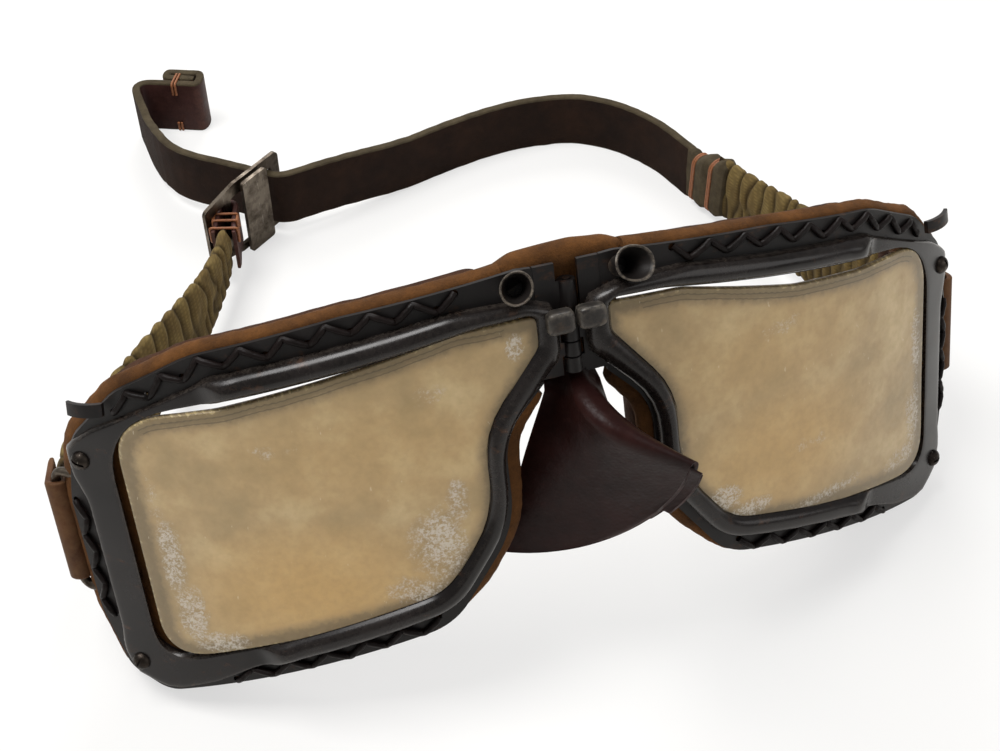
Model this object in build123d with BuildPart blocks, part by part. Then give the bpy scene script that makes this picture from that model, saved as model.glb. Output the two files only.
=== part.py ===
"""Aviator flying goggles, set down on a table with the head strap standing behind them.

The frames are drawn upright, with the hinge pin along Z, X to the viewer's right and Y
towards the wearer. Each finished piece of the frames is then leaned back about X and
lifted, so that the goggles stand on the lower corners of their masks. The strap and its
buckle are drawn where they stand on the table.
"""

import os
from math import asin, cos, degrees, radians, sin, sqrt, tan

from build123d import *

os.makedirs("parts", exist_ok=True)

# How the goggles stand, and how far the hinge is in front of the middle of the whole
LEAN = 20.0
HINGE_HEIGHT = 77.2
MIDDLE_BEHIND = 85.2

# The face of the frames: flat across the bridge, then one arc to each temple
FACE_Y = -0.5
FLAT_HALF = 8.0
WRAP_RADIUS = 135.0
WRAP_SWEEP = 50.0

# Frame sheet, rim and lens
FLANGE_THICK = 0.9
FLANGE_LEDGE = 0.7
BEAD_TALL = 3.0
BEAD_ROUND = 1.2
BEAD_END_X = 63.5
PLATE_THICK = 1.3
GROOVE_DEEP = 1.8
GROOVE_WIDE = 2.3
LENS_FRONT = -1.65
LENS_BACK = -0.15
SEAT_GAP = 0.05

# Lacing
LACE_PITCH = 7.4
LACE_REACH = 2.0
LACE_TEMPLE_REACH = 1.2
LACE_RADIUS = 0.5
LACE_HOLE_RADIUS = 0.7

# Hinge
PIN_RADIUS = 0.8
BORE_RADIUS = 0.85
KNUCKLE_RADIUS = 1.6
LEAF_START = 2.1
LEAF_END = 6.0
LEAF_TOP = 12.3
LEAF_BOTTOM = -9.4
KNUCKLES = {"left": [(2.3, 8.9), (-5.7, -3.0)], "right": [(-2.7, 2.0), (-8.9, -6.0)]}
PIN_OVERHANG = 0.3
CATCH_GAP = 0.3
CATCH_SIZE = (5.2, 3.2, 5.0)
CATCH_CENTRE_Z = 2.8
CATCH_BACK_Y = -2.3

# Mask and cushion
MASK_START = 1.0
MASK_END = 8.0
MASK_ROLL = 1.3
MASK_HOLLOW = 3.0
MASK_INNER_X = 10.4
MASK_OUTER_X = 88.0
CUSHION_START = 8.2
CUSHION_END = 16.5
CUSHION_HOLLOW = 0.6
CUSHION_CROWN = 0.8

# Temple screws
SCREW_HEAD_RADIUS = 1.8
SCREW_HEAD_TALL = 1.4
SCREW_SHANK_RADIUS = 0.75
SCREW_HOLE_RADIUS = 0.8
SCREW_SLOT = 0.6
SCREW_PLACES = [(88.5, -17.2), (87.0, -62.7)]

# Vent trumpets
VENT_PLACE = (9.6, 9.4)
VENT_AXIS = (0.16, -0.90, 0.36)
VENT_MOUTH_RADIUS = 3.6
VENT_THROAT_RADIUS = 1.9
VENT_LONG = 6.6
VENT_WALL = 0.5

# Bridge mask and nose guard
BRIDGE_FRONT = 2.4
BRIDGE_BACK = 9.4
BRIDGE_OUTLINE = [(-9.9, 13.6), (9.9, 13.6), (9.9, -7.5), (0, -9.6), (-9.9, -7.5)]
GUARD_TOP = (0.3, 0.6, -10.9)
GUARD_THICK = 1.3
# How far down, the plane's tilt, then left end, middle of the ridge's bend and right end in it,
# and the bend's radius
GUARD_STRIPS = [
    (0.0, 28.0, (-5.2, -2.0), (0.3, -0.2), (5.0, -2.4), 2.0),
    (12.0, 32.0, (-10.4, -11.9), (3.9, 6.8), (7.5, -8.0), 3.4),
    (26.9, 48.5, (-17.5, -31.2), (20.9, 4.3), (12.5, -17.0), 4.2),
]
# The guard's lower edge is cut round, through these two corners
GUARD_CORNERS = [(-15.3, 7.8, -48.2), (16.3, -15.35, -24.0)]
GUARD_EDGE_RADIUS = 49.0
GUARD_EDGE_SAG = 6.0
BACKING_THICK = 0.9
BACKING_GAP = 0.75
BACKING_REACH = (13.0, 5.0)
BACKING_SHOWS = 1.4

# Strap loops and their folded tabs
LOOP_WIRE_RADIUS = 0.9
LOOP_TOP = -22.5
LOOP_BOTTOM = -48.5
LOOP_X = 94.6
LOOP_Y = 34.0
LOOP_ROOT_X = 89.8
LOOP_ROOT_Y = 29.3
TAB_THICK = 1.3
TAB_TOP = -24.5
TAB_BOTTOM = -46.5
TAB_LONG = 9.0
TAB_WAY = (-0.10, 0.995, 0)

# Strap, on the table
STRAP_WIDE = 15.9
STRAP_THICK = 2.2
STRAP_LIFT = 2.9
ROLL_GAP = 0.45
ELASTIC_WIDE = 21.0
ELASTIC_THICK = 4.2
GATHER_DEEP = 0.7
GATHERS = 17

# The strap's route, its middle line from the splice to the roll
STRAP_ROUTE = [
    (77.0, 113.2),
    (72.1, 129.2),
    (64.1, 140.2),
    (54.3, 147.0),
    (38.9, 148.8),
    (26.6, 147.2),
    (14.0, 144.2),
    (1.6, 140.0),
    (-16.6, 135.4),
    (-31.0, 132.4),
]
STRAP_TURN_AT_BUCKLE = 5.5
STRAP_HEADING = 142.0
STRAP_STRAIGHT = 34.0
STRAP_BACK_ROUTE = [(-60.6, 172.5), (-62.3, 191.5)]
STRAP_BACK_RADII = [22.0, 40.0, 6.0]
ROLL_START = (-50.0, 186.6)
ROLL_TURN = -22.0
ROLL_LONG = 4.6
ROLL_BACK = -3.6
SPLICE_END = (80.6, 101.4)
THREAD_RADIUS = 0.35

# Slide buckle, in its own upright plane: s along the plate from the strap's slot, and Z
BUCKLE_CROSSING = (-34.8, 135.4)
BUCKLE_TURN = 38.0
BUCKLE_THICK = 1.0
BUCKLE_FOOT = 0.4
BUCKLE_TOP = 22.8
SLOT_CLEAR = 0.45
SLOT_HALF = 1.65
BAR_END = -2.1
BAR_START = -11.2
BAR_LIFT = 1.3
CHAPE_BAR = (-14.9, 1.0)
CHAPE_HEADING = 254.0
CHAPE_LONG = 10.5
CHAPE_INNER = 1.5
CHAPE_THICK = 1.2
CHAPE_LOW = 5.4
CHAPE_HIGH = 17.4

lean = Location((0, 0, HINGE_HEIGHT), (-LEAN, 0, 0))


def write(solid, label):
    """Set a finished piece about the middle of the whole, name it and write it."""
    placed = Pos(0, -MIDDLE_BEHIND, 0) * solid
    placed.label = label
    export_step(placed, f"parts/{label}.step")


def write_pair(solid, label):
    """Write a piece of the right half and its mirror image, both leaned as they stand."""
    write(lean * solid, f"right_{label}")
    write(lean * mirror(solid, about=Plane.YZ, mode=Mode.PRIVATE), f"left_{label}")


def face_y(x, behind=0.0):
    """Y of the frame's face at x, or of the surface that lies a distance behind it."""
    if x <= FLAT_HALF:
        return FACE_Y + behind
    radius = WRAP_RADIUS - behind
    return FACE_Y + WRAP_RADIUS - sqrt(radius**2 - (x - FLAT_HALF) ** 2)


def face_plane(x, z, behind=0.0):
    """A plane on that surface at (x, z), its normal pointing out and its X direction up."""
    turn = asin(max(x - FLAT_HALF, 0) / (WRAP_RADIUS - behind))
    return Plane(origin=(x, face_y(x, behind), z), x_dir=(0, 0, 1), z_dir=(sin(turn), -cos(turn), 0))


def outline(points, radii):
    """A closed outline with rounded corners, its points given as (x, z)."""
    with BuildSketch(mode=Mode.PRIVATE) as sketch:
        with BuildLine():
            FilletPolyline(*points, radius=radii, close=True)
        make_face()
    return sketch.sketch_local


def grown(sketch, amount):
    """The outline moved outwards by an amount, or inwards when the amount is negative."""
    return offset(sketch, amount=amount, mode=Mode.PRIVATE)


def wrapped(sketch, start, end):
    """Solid that has the sketch's outline and follows the face, between two depths."""
    centre = (FLAT_HALF, FACE_Y + WRAP_RADIUS)
    with BuildPart(mode=Mode.PRIVATE) as band:
        with BuildSketch(Plane.XZ):
            add(sketch)
        extrude(amount=80, both=True)
        with BuildSketch(Plane.XY.offset(-100)):
            with BuildLine():
                front = CenterArc(centre, WRAP_RADIUS - start, -90, WRAP_SWEEP)
                back = CenterArc(centre, WRAP_RADIUS - end, -90, WRAP_SWEEP)
                Polyline(front @ 0, (-1, FACE_Y + start), (-1, FACE_Y + end), back @ 0)
                Line(front @ 1, back @ 1)
            make_face()
        extrude(amount=150, mode=Mode.INTERSECT)
    return band.part


# Outlines of the right half
opening = outline(
    [(6.9, 4.4), (17, 4.0), (83.2, -8.2), (83.2, -62.4), (29, -48.2), (18.6, -34), (18.6, -16.5), (6.9, -1.8)],
    [1.6, 25, 16, 6.5, 12, 22, 20, 2.4],
)
bead_edge = outline(
    [(2.5, 5.0), (8.5, 7.1), (22, 7.2), (88, -4.2), (88, -68.6), (27, -52.6), (15.0, -35.6), (14.9, -18.2)]
    + [(2.5, -4.9)],
    [1.5, 5, 25, 16, 10, 14, 24, 18, 1.5],
)
plate_edge = outline(
    [(57, 1.0), (64, -0.6), (85.5, -10.8), (90.9, -14.8), (90.9, -20.6), (89.3, -26), (89.2, -55), (89.9, -60.5)]
    + [(88.7, -65.7), (82.6, -69.2), (73.5, -66.2), (66, -62.3), (57, -60)],
    [0.5, 8, 6, 3, 4, 12, 12, 6, 3, 4, 6, 8, 0.5],
)
flange_edge = outline(
    [(LEAF_END + SEAT_GAP, LEAF_TOP), (9, 12.5), (40, 9.0), (66, 3.9), (80, -3.2), (89.6, -13.5), (92.4, -27)]
    + [(92.2, -52), (89.4, -65.5), (83.2, -70.4), (28, -57.0), (14.4, -38), (14.3, -18.8)]
    + [(LEAF_END + SEAT_GAP, LEAF_BOTTOM - 0.8)],
    [0.3, 3, 30, 20, 12, 10, 14, 14, 5, 5, 14, 22, 14, 0.3],
)
lens_edge = outline(
    [(6.0, 3.3), (21, 2.4), (45, -3.8), (63, -7.2), (81.7, -8.2), (81.7, -60.9), (28.2, -49.6), (17, -34.6)]
    + [(17, -17.2), (5.6, -2.6)],
    [1.8, 15, 20, 18, 13, 7, 11, 20, 18, 2.2],
)

# The lacing's routes along the flange's edge, each with the way to the lens and its reach
LACE_ROUTES = [
    ([(20, 10.4), (40, 8.1), (66, 3.0), (81, -5.2)], (-0.2, -0.98), LACE_REACH),
    ([(91.5, -27.0), (91.3, -53.0)], (-1.0, 0.0), LACE_TEMPLE_REACH),
    ([(70.0, -66.3), (30.5, -56.7)], (0.22, 0.97), LACE_REACH),
]


def zigzag(route, towards, reach):
    """Points (x, z) that go back and forth across the flange at the lacing's pitch."""
    with BuildLine(mode=Mode.PRIVATE):
        path = Polyline(*route)
    steps = round(path.length / (LACE_PITCH / 2))
    points = []
    for step in range(steps + 1):
        spot = path @ (step / steps)
        inset = reach if step % 2 else 0.0
        points.append((spot.X + towards[0] * inset, spot.Y + towards[1] * inset))
    return points


zigzags = [zigzag(*row) for row in LACE_ROUTES]
lace_points = [point for line in zigzags for point in line]


def bored(solid, places, radius):
    """The solid with round holes through it, square to the face at each (x, z)."""
    with BuildPart(mode=Mode.PRIVATE) as work:
        add(solid)
        for x, z in places:
            with BuildSketch(face_plane(x, z)):
                Circle(radius)
            extrude(amount=4, both=True, mode=Mode.SUBTRACT)
    return work.part


# Base frame: the flat flange, with its lens opening and the holes for lacing and screws
with BuildPart() as base_frame:
    add(wrapped(flange_edge, SEAT_GAP, FLANGE_THICK))
    add(wrapped(grown(opening, FLANGE_LEDGE), -1, 3), mode=Mode.SUBTRACT)
write_pair(bored(bored(base_frame.part, lace_points, LACE_HOLE_RADIUS), SCREW_PLACES, SCREW_HOLE_RADIUS), "base_frame")

# Front rim: the raised bead that holds the lens, and the flat temple plate
with BuildPart() as bead:
    add(wrapped(bead_edge, -BEAD_TALL, 0))
    split(bisect_by=Plane.YZ.offset(BEAD_END_X), keep=Keep.BOTTOM)
    front_face = bead.faces().filter_by(GeomType.CYLINDER).sort_by(lambda face: face.area)[-2:]
    crest = min(front_face, key=lambda face: face.center().Y)
    fillet([edge for edge in crest.edges() if edge.center().X > 3], radius=BEAD_ROUND)
with BuildPart() as groove:
    add(wrapped(grown(opening, GROOVE_WIDE), -GROOVE_DEEP, 1))
    split(bisect_by=Plane.YZ.offset(BEAD_END_X - 1), keep=Keep.BOTTOM)
with BuildPart() as front_rim:
    add(bead.part)
    add(wrapped(plate_edge, -PLATE_THICK, 0))
    add(wrapped(opening, -5, 3), mode=Mode.SUBTRACT)
    add(groove.part, mode=Mode.SUBTRACT)
    with Locations((CATCH_GAP + CATCH_SIZE[0] / 2, CATCH_BACK_Y - CATCH_SIZE[1] / 2, CATCH_CENTRE_Z)):
        Box(*[size + 2 * SEAT_GAP for size in CATCH_SIZE], mode=Mode.SUBTRACT)
write_pair(bored(front_rim.part, SCREW_PLACES, SCREW_HOLE_RADIUS), "front_rim")

# Lens: a curved sheet whose top edge has sagged out of the bead
write_pair(wrapped(lens_edge, LENS_FRONT, LENS_BACK), "lens")

# Temple screws: slotted dome heads on the plate, shanks through plate and flange
with BuildPart() as screws:
    for x, z in SCREW_PLACES:
        seat = face_plane(x, z).offset(PLATE_THICK + SEAT_GAP)
        with BuildSketch(seat):
            Circle(SCREW_HEAD_RADIUS)
        extrude(amount=SCREW_HEAD_TALL)
        top = screws.faces().sort_by(Axis(seat.origin, seat.z_dir))[-1]
        fillet(top.edges(), radius=SCREW_HEAD_TALL * 0.8)
        with BuildSketch(seat.offset(SCREW_HEAD_TALL)):
            Rectangle(SCREW_SLOT, 5)
        extrude(amount=-SCREW_SLOT, mode=Mode.SUBTRACT)
        with BuildSketch(seat):
            Circle(SCREW_SHANK_RADIUS)
        extrude(amount=-(PLATE_THICK + FLANGE_THICK))
write_pair(screws.part, "rim_screws")

# Lacing: a cord that zigzags over the flange from hole to hole
with BuildPart() as lacing:
    for line in zigzags:
        knots = [face_plane(x, z).offset(LACE_RADIUS).origin for x, z in line]
        for first, second in zip(knots, knots[1:]):
            with BuildSketch(Plane(origin=first, z_dir=second - first)):
                Circle(LACE_RADIUS)
            extrude(amount=(second - first).length)
        with Locations(*knots):
            Sphere(LACE_RADIUS)
write_pair(lacing.part, "lacing")

# Hinge: a leaf on each frame with its knuckles, and one pin through them all
for side, hand in (("left", -1), ("right", 1)):
    with BuildPart() as hinge_leaf:
        with BuildSketch(Plane.XY.offset(LEAF_BOTTOM)):
            with Locations((hand * (LEAF_START + LEAF_END) / 2, FACE_Y + FLANGE_THICK / 2)):
                Rectangle(LEAF_END - LEAF_START, FLANGE_THICK)
        extrude(amount=LEAF_TOP - LEAF_BOTTOM)
        for low, high in KNUCKLES[side]:
            with BuildSketch(Plane.XY.offset(low)):
                Circle(KNUCKLE_RADIUS)
                with Locations((hand * LEAF_START / 2, FACE_Y + FLANGE_THICK / 2)):
                    Rectangle(LEAF_START + 0.4, FLANGE_THICK)
                Circle(BORE_RADIUS, mode=Mode.SUBTRACT)
            extrude(amount=high - low)
            with BuildSketch(Plane.XY.offset(low)):
                Circle(BORE_RADIUS)
            extrude(amount=high - low, mode=Mode.SUBTRACT)
    write(lean * hinge_leaf.part, f"{side}_hinge_leaf")

with BuildPart() as hinge_pin:
    pin_bottom = KNUCKLES["right"][1][0] - PIN_OVERHANG
    with BuildSketch(Plane.XY.offset(pin_bottom)):
        Circle(PIN_RADIUS)
    extrude(amount=KNUCKLES["left"][0][1] + PIN_OVERHANG - pin_bottom)
write(lean * hinge_pin.part, "hinge_pin")

# Bridge catches: rounded blocks on the rims' tips, that meet in front of the hinge
with BuildPart() as catch:
    with Locations((CATCH_GAP + CATCH_SIZE[0] / 2, CATCH_BACK_Y - CATCH_SIZE[1] / 2, CATCH_CENTRE_Z)):
        Box(*CATCH_SIZE)
    fillet(catch.faces().sort_by(Axis.Y)[0].edges(), radius=0.9)
write_pair(catch.part, "bridge_catch")

# Vent trumpets: flared cups that stand on the flange above the bead
vent_seat = face_plane(*VENT_PLACE)
vent_axis = Vector(*VENT_AXIS).normalized()
vent_plane = Plane(origin=vent_seat.origin, x_dir=(1, 0.25, 0), z_dir=vent_axis)
with BuildPart() as vent:
    with BuildSketch(Plane.XZ):
        with BuildLine():
            throat = VENT_THROAT_RADIUS
            mouth = VENT_MOUTH_RADIUS
            foot = (throat, 0.2)
            Line((throat - VENT_WALL, 0.2), foot)
            flare = ThreePointArc(foot, (throat + 0.45, VENT_LONG * 0.6), (mouth, VENT_LONG))
            Line(flare @ 1, (mouth - VENT_WALL, VENT_LONG))
            ThreePointArc(
                (mouth - VENT_WALL, VENT_LONG),
                (throat - 0.1, VENT_LONG * 0.62),
                (throat - VENT_WALL, 0.2),
            )
        make_face()
    revolve(axis=Axis.Z)
placed_vent = vent_plane.location * vent.part
with BuildPart() as vent_trumpet:
    add(placed_vent)
    add(wrapped(outline([(0, -5), (30, -5), (30, 30), (0, 30)], [1, 1, 1, 1]), -0.02, 12), mode=Mode.SUBTRACT)
write_pair(vent_trumpet.part, "vent_trumpet")

# Corner tabs: small curled tongues of sheet at the temple's top corners
tab_plane = face_plane(81.6, -6.0)
with BuildPart() as corner_tab:
    with BuildSketch(Plane(origin=tab_plane.origin, x_dir=(0.85, 0.45, 0.1), z_dir=(-0.1, 0, 0.85))):
        with BuildLine():
            ThreePointArc((0, -1.0), (3.2, -2.2), (6.4, -1.6))
            ThreePointArc((6.4, -1.6), (6.7, -2.1), (6.4, -2.5))
            ThreePointArc((6.4, -2.5), (3.2, -3.1), (0, -1.9))
            Line((0, -1.9), (0, -1.0))
        make_face()
    extrude(amount=1.3, both=True)
write_pair(corner_tab.part, "corner_tab")

# Face masks: leather walls behind the flanges, their edges rolled out past them and
# pressed flat where they stand on the table
half_space = outline([(MASK_INNER_X, -90), (MASK_OUTER_X, -90), (MASK_OUTER_X, 40), (MASK_INNER_X, 40)], [1, 1, 1, 1])
with BuildSketch() as mask_ring:
    add(grown(flange_edge, MASK_ROLL))
    add(half_space, mode=Mode.INTERSECT)
    add(grown(opening, MASK_HOLLOW), mode=Mode.SUBTRACT)
with BuildPart() as face_mask:
    add(wrapped(mask_ring.sketch_local, MASK_START, MASK_END))
    split(bisect_by=Plane(lean.inverse()), keep=Keep.TOP)
write_pair(face_mask.part, "face_mask")

# Mask cushions: padded rings behind the masks, drawn in and crowned where they meet the face
cushion_edge = outline(
    [(11.2, 9.4), (40, 6.0), (66, 0.6), (78, -5.6), (85.6, -15), (87.6, -27), (87.4, -52), (84.8, -62.6)]
    + [(80, -66.0), (28.5, -54.4), (13.2, -37), (13.0, -20), (11.2, -13)],
    [3, 25, 16, 10, 8, 12, 12, 6, 6, 14, 12, 8, 3],
)
with BuildSketch() as cushion_ring:
    add(cushion_edge)
    add(grown(opening, CUSHION_HOLLOW), mode=Mode.SUBTRACT)
with BuildPart() as mask_cushion:
    add(wrapped(cushion_ring.sketch_local, CUSHION_START, CUSHION_END))
    ranked = mask_cushion.faces().filter_by(GeomType.CYLINDER).sort_by(lambda face: face.area)[-2:]
    back_face = max(ranked, key=lambda face: face.center().Y)
    fillet(back_face.edges(), radius=CUSHION_CROWN)
write_pair(mask_cushion.part, "mask_cushion")

# Bridge mask: the soft roll that joins the two masks over the nose
with BuildPart() as bridge_mask:
    with BuildSketch(Plane.XZ.offset(-BRIDGE_FRONT)):
        with BuildLine():
            FilletPolyline(*BRIDGE_OUTLINE, radius=2.0, close=True)
        make_face()
    extrude(amount=BRIDGE_FRONT - BRIDGE_BACK)
    fillet(bridge_mask.faces().sort_by(Axis.Y)[-1].edges(), radius=1.6)
write(lean * bridge_mask.part, "bridge_mask")


def flank(end, middle, radius, hand):
    """Ways along and square to the straight that leaves an end and meets a round bend."""
    reach = middle - end
    way = reach.rotate(Axis.Z, hand * degrees(asin(radius / reach.length))).normalized()
    return way, Vector(-hand * way.Y, hand * way.X)


def saddle(strips, thick, inset=0.0, reaches=None):
    """A leather saddle lofted through bent strips, each in its own tilted plane.

    A second layer lies an inset under the first and reaches a distance down each flank.
    """
    down_the_nose = Vector(0, -sin(radians(strips[0][1])), -cos(radians(strips[0][1])))
    with BuildPart(mode=Mode.PRIVATE) as work:
        for down, tilt, left, middle, right, bend in strips if reaches is None else strips[1:]:
            normal = (0, -sin(radians(tilt)), -cos(radians(tilt)))
            centre = Vector(*middle)
            left_way, left_out = flank(Vector(*left), centre, bend, 1)
            right_way, right_out = flank(Vector(*right), centre, bend, -1)
            ridge_out = (left_out + right_out).normalized()
            ends = [Vector(*left), Vector(*right)]
            if reaches is not None:
                ends = [
                    centre + left_out * bend - left_way * reaches[0],
                    centre + right_out * bend - right_way * reaches[1],
                ]
            with BuildSketch(Plane(origin=Vector(*GUARD_TOP) + down_the_nose * down, x_dir=(1, 0, 0), z_dir=normal)):
                with BuildLine():
                    faces = []
                    for depth in (inset, inset + thick):
                        radius = bend - depth
                        start = ends[0] - left_out * depth
                        end = ends[1] - right_out * depth
                        near, far = centre + left_out * radius, centre + right_out * radius
                        Line(start, near)
                        ThreePointArc(near, centre + ridge_out * radius, far)
                        Line(far, end)
                        faces.append((start, end))
                    Line(faces[0][0], faces[1][0])
                    Line(faces[0][1], faces[1][1])
                make_face()
        loft(ruled=True)
    return work.part


def cut_round(solid, beyond):
    """The solid trimmed to the guard's round lower edge, or to a line beyond it."""
    first, second = [Vector(*corner) for corner in GUARD_CORNERS]
    chord = (second - first).normalized()
    tilt = radians(GUARD_STRIPS[0][1])
    steep = Vector(0, -sin(tilt), -cos(tilt))
    down = (steep - chord * steep.dot(chord)).normalized()
    centre = (first + second) * 0.5 - down * (GUARD_EDGE_RADIUS - GUARD_EDGE_SAG)
    with BuildPart(mode=Mode.PRIVATE) as work:
        add(solid)
        with BuildSketch(Plane(origin=centre, z_dir=chord.cross(down))):
            Circle(GUARD_EDGE_RADIUS + beyond)
        extrude(amount=60, both=True, mode=Mode.INTERSECT)
    return work.part


# Nose guard: a leather saddle under the bridge, and a second layer under its tip
write(lean * cut_round(saddle(GUARD_STRIPS, GUARD_THICK), 0), "nose_guard")
backing = saddle(GUARD_STRIPS, BACKING_THICK, GUARD_THICK + BACKING_GAP, BACKING_REACH)
write(lean * cut_round(backing, BACKING_SHOWS), "nose_guard_backing")

# Strap loops: wire bows behind the temples
bow_way = Vector(LOOP_X - LOOP_ROOT_X, LOOP_Y - LOOP_ROOT_Y, 0)
bow_plane = Plane(origin=(LOOP_ROOT_X, LOOP_ROOT_Y, 0), x_dir=bow_way, z_dir=bow_way.cross(Vector(0, 0, 1)))
with BuildPart() as strap_loop:
    with BuildLine(bow_plane) as bow:
        reach = bow_way.length
        FilletPolyline((0, LOOP_TOP), (reach, LOOP_TOP), (reach, LOOP_BOTTOM), (0, LOOP_BOTTOM), radius=2.4)
    with BuildSketch(Plane(origin=bow.line @ 0, z_dir=bow_way)):
        Circle(LOOP_WIRE_RADIUS)
    sweep(path=bow.line)
write_pair(strap_loop.part, "strap_loop")

def fold(inner, thick, length):
    """Sketch of a strip folded round the origin, both plies running out along X."""
    outer = inner + thick
    with BuildSketch(mode=Mode.PRIVATE) as sketch:
        with BuildLine():
            Line((length, outer), (0, outer))
            ThreePointArc((0, outer), (-outer, 0), (0, -outer))
            Polyline((0, -outer), (length, -outer), (length, -inner), (0, -inner))
            ThreePointArc((0, -inner), (-inner, 0), (0, inner))
            Polyline((0, inner), (length, inner), (length, outer))
        make_face()
    return sketch.sketch_local


# Temple chapes: tabs folded round the loops, open towards the elastic
with BuildPart() as temple_chape:
    with BuildSketch(Plane(origin=(LOOP_X, LOOP_Y, TAB_BOTTOM), x_dir=TAB_WAY, z_dir=(0, 0, 1))):
        add(fold(LOOP_WIRE_RADIUS + 0.1, TAB_THICK, TAB_LONG))
    extrude(amount=TAB_TOP - TAB_BOTTOM)
write_pair(temple_chape.part, "temple_chape")

# The elastic's start at the right temple, in table coordinates
tab_end = Vector(LOOP_X, LOOP_Y, (TAB_TOP + TAB_BOTTOM) / 2) + Vector(*TAB_WAY) * (TAB_LONG + SEAT_GAP)
elastic_start = (lean * Pos(tab_end)).position
elastic_way = Vector(TAB_WAY[0], TAB_WAY[1] * cos(radians(LEAN)), -TAB_WAY[1] * sin(radians(LEAN)))
elastic_up = Vector(0, sin(radians(LEAN)), cos(radians(LEAN)))


def shirred(start, way, up, end, end_way, tall, end_tall):
    """A gathered elastic band from one end to the other, with a rib for each gather."""
    span = (end - start).length
    with BuildLine(mode=Mode.PRIVATE):
        course = Bezier(start, start + way * span / 3, end - end_way * span / 3, end)
    with BuildPart(mode=Mode.PRIVATE) as band:
        steps = 2 * GATHERS
        for step in range(steps + 1):
            share = step / steps
            along = course % share
            side = up * (1 - share) + Vector(0, 0, 1) * share
            across = side.cross(along)
            rib = GATHER_DEEP if step % 2 else 0.0
            with BuildSketch(Plane(origin=course @ share, x_dir=across, z_dir=along)):
                Rectangle(ELASTIC_THICK - rib, tall + (end_tall - tall) * share - rib)
        loft(ruled=True)
    return band.part


# Right elastic, from the right temple to the splice
splice_start = Vector(*STRAP_ROUTE[0], 0)
splice_way = (Vector(*SPLICE_END, 0) - splice_start).normalized()
right_end = Vector(*SPLICE_END, ELASTIC_WIDE / 2 + THREAD_RADIUS * 2)
write(
    shirred(elastic_start, elastic_way, elastic_up, right_end, -splice_way, ELASTIC_WIDE, ELASTIC_WIDE - 2.5),
    "right_elastic_strap",
)

# Rear strap: stood on its edge, with its free end rolled up; lifted where the buckle is
turn = radians(STRAP_HEADING)
buckle_point = Vector(*BUCKLE_CROSSING, 0)
strap_way = Vector(cos(turn), sin(turn), 0)
first_bend = buckle_point - strap_way * 4.2
last_bend = buckle_point + strap_way * STRAP_STRAIGHT * 0.86


def bend_radii(points):
    """The largest even bends at the inner points of a route, from the runs beside each."""
    radii = []
    for before, here, after in zip(points, points[1:], points[2:]):
        run_in = here - before
        run_out = after - here
        half_turn = radians(run_in.get_angle(run_out)) / 2
        radii.append(0.45 * min(run_in.length, run_out.length) / tan(half_turn))
    return radii


front_points = [Vector(x, y, 0) for x, y in STRAP_ROUTE[:-1]] + [first_bend]
front_radii = bend_radii(front_points)
back_points = [buckle_point, last_bend] + [Vector(x, y, 0) for x, y in STRAP_BACK_ROUTE]
roll_frame = Plane(origin=ROLL_START, x_dir=(cos(radians(ROLL_TURN)), sin(radians(ROLL_TURN)), 0))
roll_step = STRAP_THICK + ROLL_GAP


def roll_spot(along, layers):
    """A point of the roll, given along its long side and in layers from its front."""
    return roll_frame.from_local_coords(Vector(along, layers * roll_step, 0))


def standing(lines, profile, profile_plane):
    """The strap's wall along some lines, cut to a profile seen from the side."""
    with BuildPart(mode=Mode.PRIVATE) as wall:
        with BuildSketch():
            trace(lines, STRAP_THICK)
        extrude(amount=30)
        with BuildSketch(profile_plane):
            with BuildLine():
                Polyline(*profile, close=True)
            make_face()
        extrude(amount=400, both=True, mode=Mode.INTERSECT)
    return wall.part


def edge_profile(flat_end, raised_start, far_flat, far_raised):
    """Side profile of a strap that rises by its lift between two places."""
    return [
        (far_flat, 0),
        (flat_end, 0),
        (raised_start, STRAP_LIFT),
        (far_raised, STRAP_LIFT),
        (far_raised, STRAP_LIFT + STRAP_WIDE),
        (raised_start, STRAP_LIFT + STRAP_WIDE),
        (flat_end, STRAP_WIDE),
        (far_flat, STRAP_WIDE),
    ]


with BuildLine() as front_run:
    FilletPolyline(*front_points, buckle_point, radius=front_radii + [STRAP_TURN_AT_BUCKLE])
with BuildLine() as back_run:
    FilletPolyline(*back_points, roll_spot(0, 0), radius=STRAP_BACK_RADII)
    Line(roll_spot(0, 0), roll_spot(ROLL_LONG, 0))
    ThreePointArc(roll_spot(ROLL_LONG, 0), roll_spot(ROLL_LONG + roll_step, 1), roll_spot(ROLL_LONG, 2))
    Line(roll_spot(ROLL_LONG, 2), roll_spot(ROLL_BACK, 2))
    ThreePointArc(roll_spot(ROLL_BACK, 2), roll_spot(ROLL_BACK - roll_step / 2, 1.5), roll_spot(ROLL_BACK, 1))
    Line(roll_spot(ROLL_BACK, 1), roll_spot(ROLL_LONG - 0.6, 1))
with BuildPart() as rear_strap:
    add(standing(front_run.line, edge_profile(12, -22, 100, -60), Plane.XZ))
    add(standing(back_run.line, edge_profile(172, 158, 220, 100), Plane.YZ))
write(rear_strap.part, "rear_strap")

# Stitching of the roll: one bar of thread through its front layer near the fold
with BuildPart() as roll_stitching:
    for height in (2.2, STRAP_WIDE - 5.4):
        spot = roll_spot(-1.2, 0) - roll_frame.y_dir * (STRAP_THICK / 2 + THREAD_RADIUS)
        with BuildSketch(Plane(origin=(spot.X, spot.Y, height), z_dir=(0, 0, 1))):
            Circle(THREAD_RADIUS)
        extrude(amount=3.2)
write(roll_stitching.part, "roll_stitching")

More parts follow.
